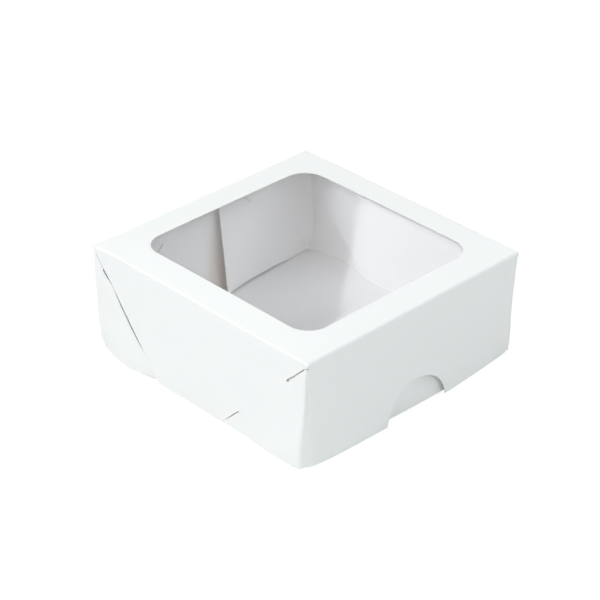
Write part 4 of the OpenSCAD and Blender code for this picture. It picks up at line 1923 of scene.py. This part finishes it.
    def lay_tab(self, side: Side) -> None:
        """The tab that is glued behind the front flap.

        Args:
            side: the side of the box.
        """
        box = self.box
        near, far, clip = box.lid_y, box.lid_y - box.tab_length, box.tab_clip
        low, high = self.corner_span()
        tab = [(near, low), (near, high), (far, high - clip), (far, low + clip)]

        def place(u: float, v: float, d: float) -> Vector:
            """A point of the tab, which follows its swollen corner."""
            across = u + side.value * self.corner_swell(v) * (abs(u) - far) / (near - far)
            return box.at_end(End.FRONT, box.tab_depth + d - box.bow(u, v), across, v)

        outline = [(side.value * y, z) for y, z in tab]
        name, node = f"lid_{side.word}_tab_board", f"lid_{side.word}_glue_tab"
        soft_far = near - box.fold_step
        self.lay(
            name, node, [outline], place, self.bowed_grid, soft=lambda u, v: abs(u) < soft_far
        )


@dataclass(frozen=True)
class Lamp:
    """A soft square lamp that looks at the box."""

    name: str
    towards: tuple[float, float, float]
    level: float
    colour: tuple = (1, 1, 1)
    size: float = 0.7
    distance: float = 1.5

    def build(self, aim: Vector) -> None:
        """Hangs the lamp, whose level is the value that a white face turned to it gets.

        Args:
            aim: the point that it looks at.
        """
        lamp = bpy.data.lights.new(self.name, "AREA")
        lamp.shape = "SQUARE"
        lamp.size = self.size
        lamp.color = self.colour
        lamp.energy = self.level * (math.pi * self.distance) ** 2
        thing = bpy.data.objects.new(self.name, lamp)
        way = Vector(self.towards).normalized()
        thing.location = aim + way * self.distance
        thing.rotation_euler = way.to_track_quat("Z", "Y").to_euler()
        bpy.context.scene.collection.objects.link(thing)


@dataclass(frozen=True)
class CameraPose:
    """The photograph's camera, as fitted to the box's corners."""

    azimuth: float = math.radians(45.183)
    elevation: float = math.radians(31.465)
    roll: float = math.radians(0.875)
    distance: float = 986 * MM
    right: float = -2.21 * MM
    up: float = 21.71 * MM
    focal_pixels: float = 2245.4
    frame_pixels: int = 600
    sensor: float = 36.0
    reach: Point = (10 * MM, 100.0)

    def build(self) -> None:
        """Sets up the camera and makes it the scene's."""
        a, e, r = self.azimuth, self.elevation, self.roll
        back = Vector((math.sin(a) * math.cos(e), -math.cos(a) * math.cos(e), math.sin(e)))
        level = Vector((math.cos(a), math.sin(a), 0))
        upright = back.cross(level)
        right = math.cos(r) * level + math.sin(r) * upright
        up = math.cos(r) * upright - math.sin(r) * level
        data = bpy.data.cameras.new("photo_camera")
        data.sensor_width = self.sensor
        data.lens = self.sensor * self.focal_pixels / self.frame_pixels
        data.clip_start, data.clip_end = self.reach
        camera = bpy.data.objects.new("photo_camera", data)
        place = back * self.distance + right * self.right + up * self.up
        turn = Matrix((right, up, back)).transposed().to_4x4()
        camera.matrix_world = Matrix.Translation(place) @ turn
        bpy.context.scene.collection.objects.link(camera)
        bpy.context.scene.camera = camera


@dataclass(frozen=True)
class Studio:
    """Floor, world, lamps and camera."""

    floor_size: float = 12.0
    floor_drop: float = 0.02 * MM
    aim: tuple[float, float, float] = (0, 0, 25 * MM)
    lamps: tuple[Lamp, ...] = (
        Lamp("left_key_lamp", (-0.142, -0.807, 0.574), 0.535),
        Lamp("corner_lamp", (0.612, -0.612, 0.5), 0.168, (0.975, 1, 1)),
        Lamp("front_lamp", (0.819, 0, 0.574), 0.194, (0.96, 1, 1)),
        Lamp("top_lamp", (0.024, -0.066, 0.998), 0.135, size=0.9),
        Lamp("far_lamp", (0.5, 0.5, 0.707), 0.24, (0.975, 1, 1)),
        Lamp("hinge_lamp", (-0.766, 0, 0.643), 0.33),
        Lamp("right_lamp", (-0.1, 0.94, 0.34), 0.12),
        Lamp("film_lamp", (-0.491, 0.702, 0.517), 0.037, size=0.34, distance=1.41),
    )

    def build(self) -> None:
        """Sets the scene round the box."""
        CameraPose().build()
        for lamp in self.lamps:
            lamp.build(Vector(self.aim))
        self.build_floor()
        self.build_world()
        bpy.context.scene.view_settings.view_transform = "Standard"

    def build_floor(self) -> None:
        """Lays the pale floor just under the box."""
        half = self.floor_size / 2
        mesh = bpy.data.meshes.new("studio_floor")
        corners = [(x, y, 0) for x, y in oblong(-half, half, -half, half)]
        mesh.from_pydata(corners, [], [(0, 1, 2, 3)])
        finish = FloorFinish("studio_floor", (0.86, 0.86, 0.86, 1), glow=1.1, glow_share=0.8)
        mesh.materials.append(finish.build())
        floor = bpy.data.objects.new("studio_floor", mesh)
        floor.location.z = -self.floor_drop
        bpy.context.scene.collection.objects.link(floor)

    def build_world(self) -> None:
        """Gives a white background to the camera and to reflections, and no light besides."""
        world = bpy.data.worlds.new("studio_world")
        bpy.context.scene.world = world
        kit = NodeKit(world)
        path = kit.add("ShaderNodeLightPath")
        seen = kit.signal(path, "Is Camera Ray").or_more(kit.signal(path, "Is Glossy Ray"))
        kit.finish(kit.shader("Background", Strength=seen), "World")


def main() -> None:
    """Builds the carton and the studio round it."""
    logging.basicConfig(level=logging.INFO, format="%(name)s: %(message)s")
    box = Carton()
    palette = Palette(box)
    Studio().build()
    for part in (Tray(box, palette), Lid(box, palette)):
        part.build()


if __name__ == "__main__":
    main()
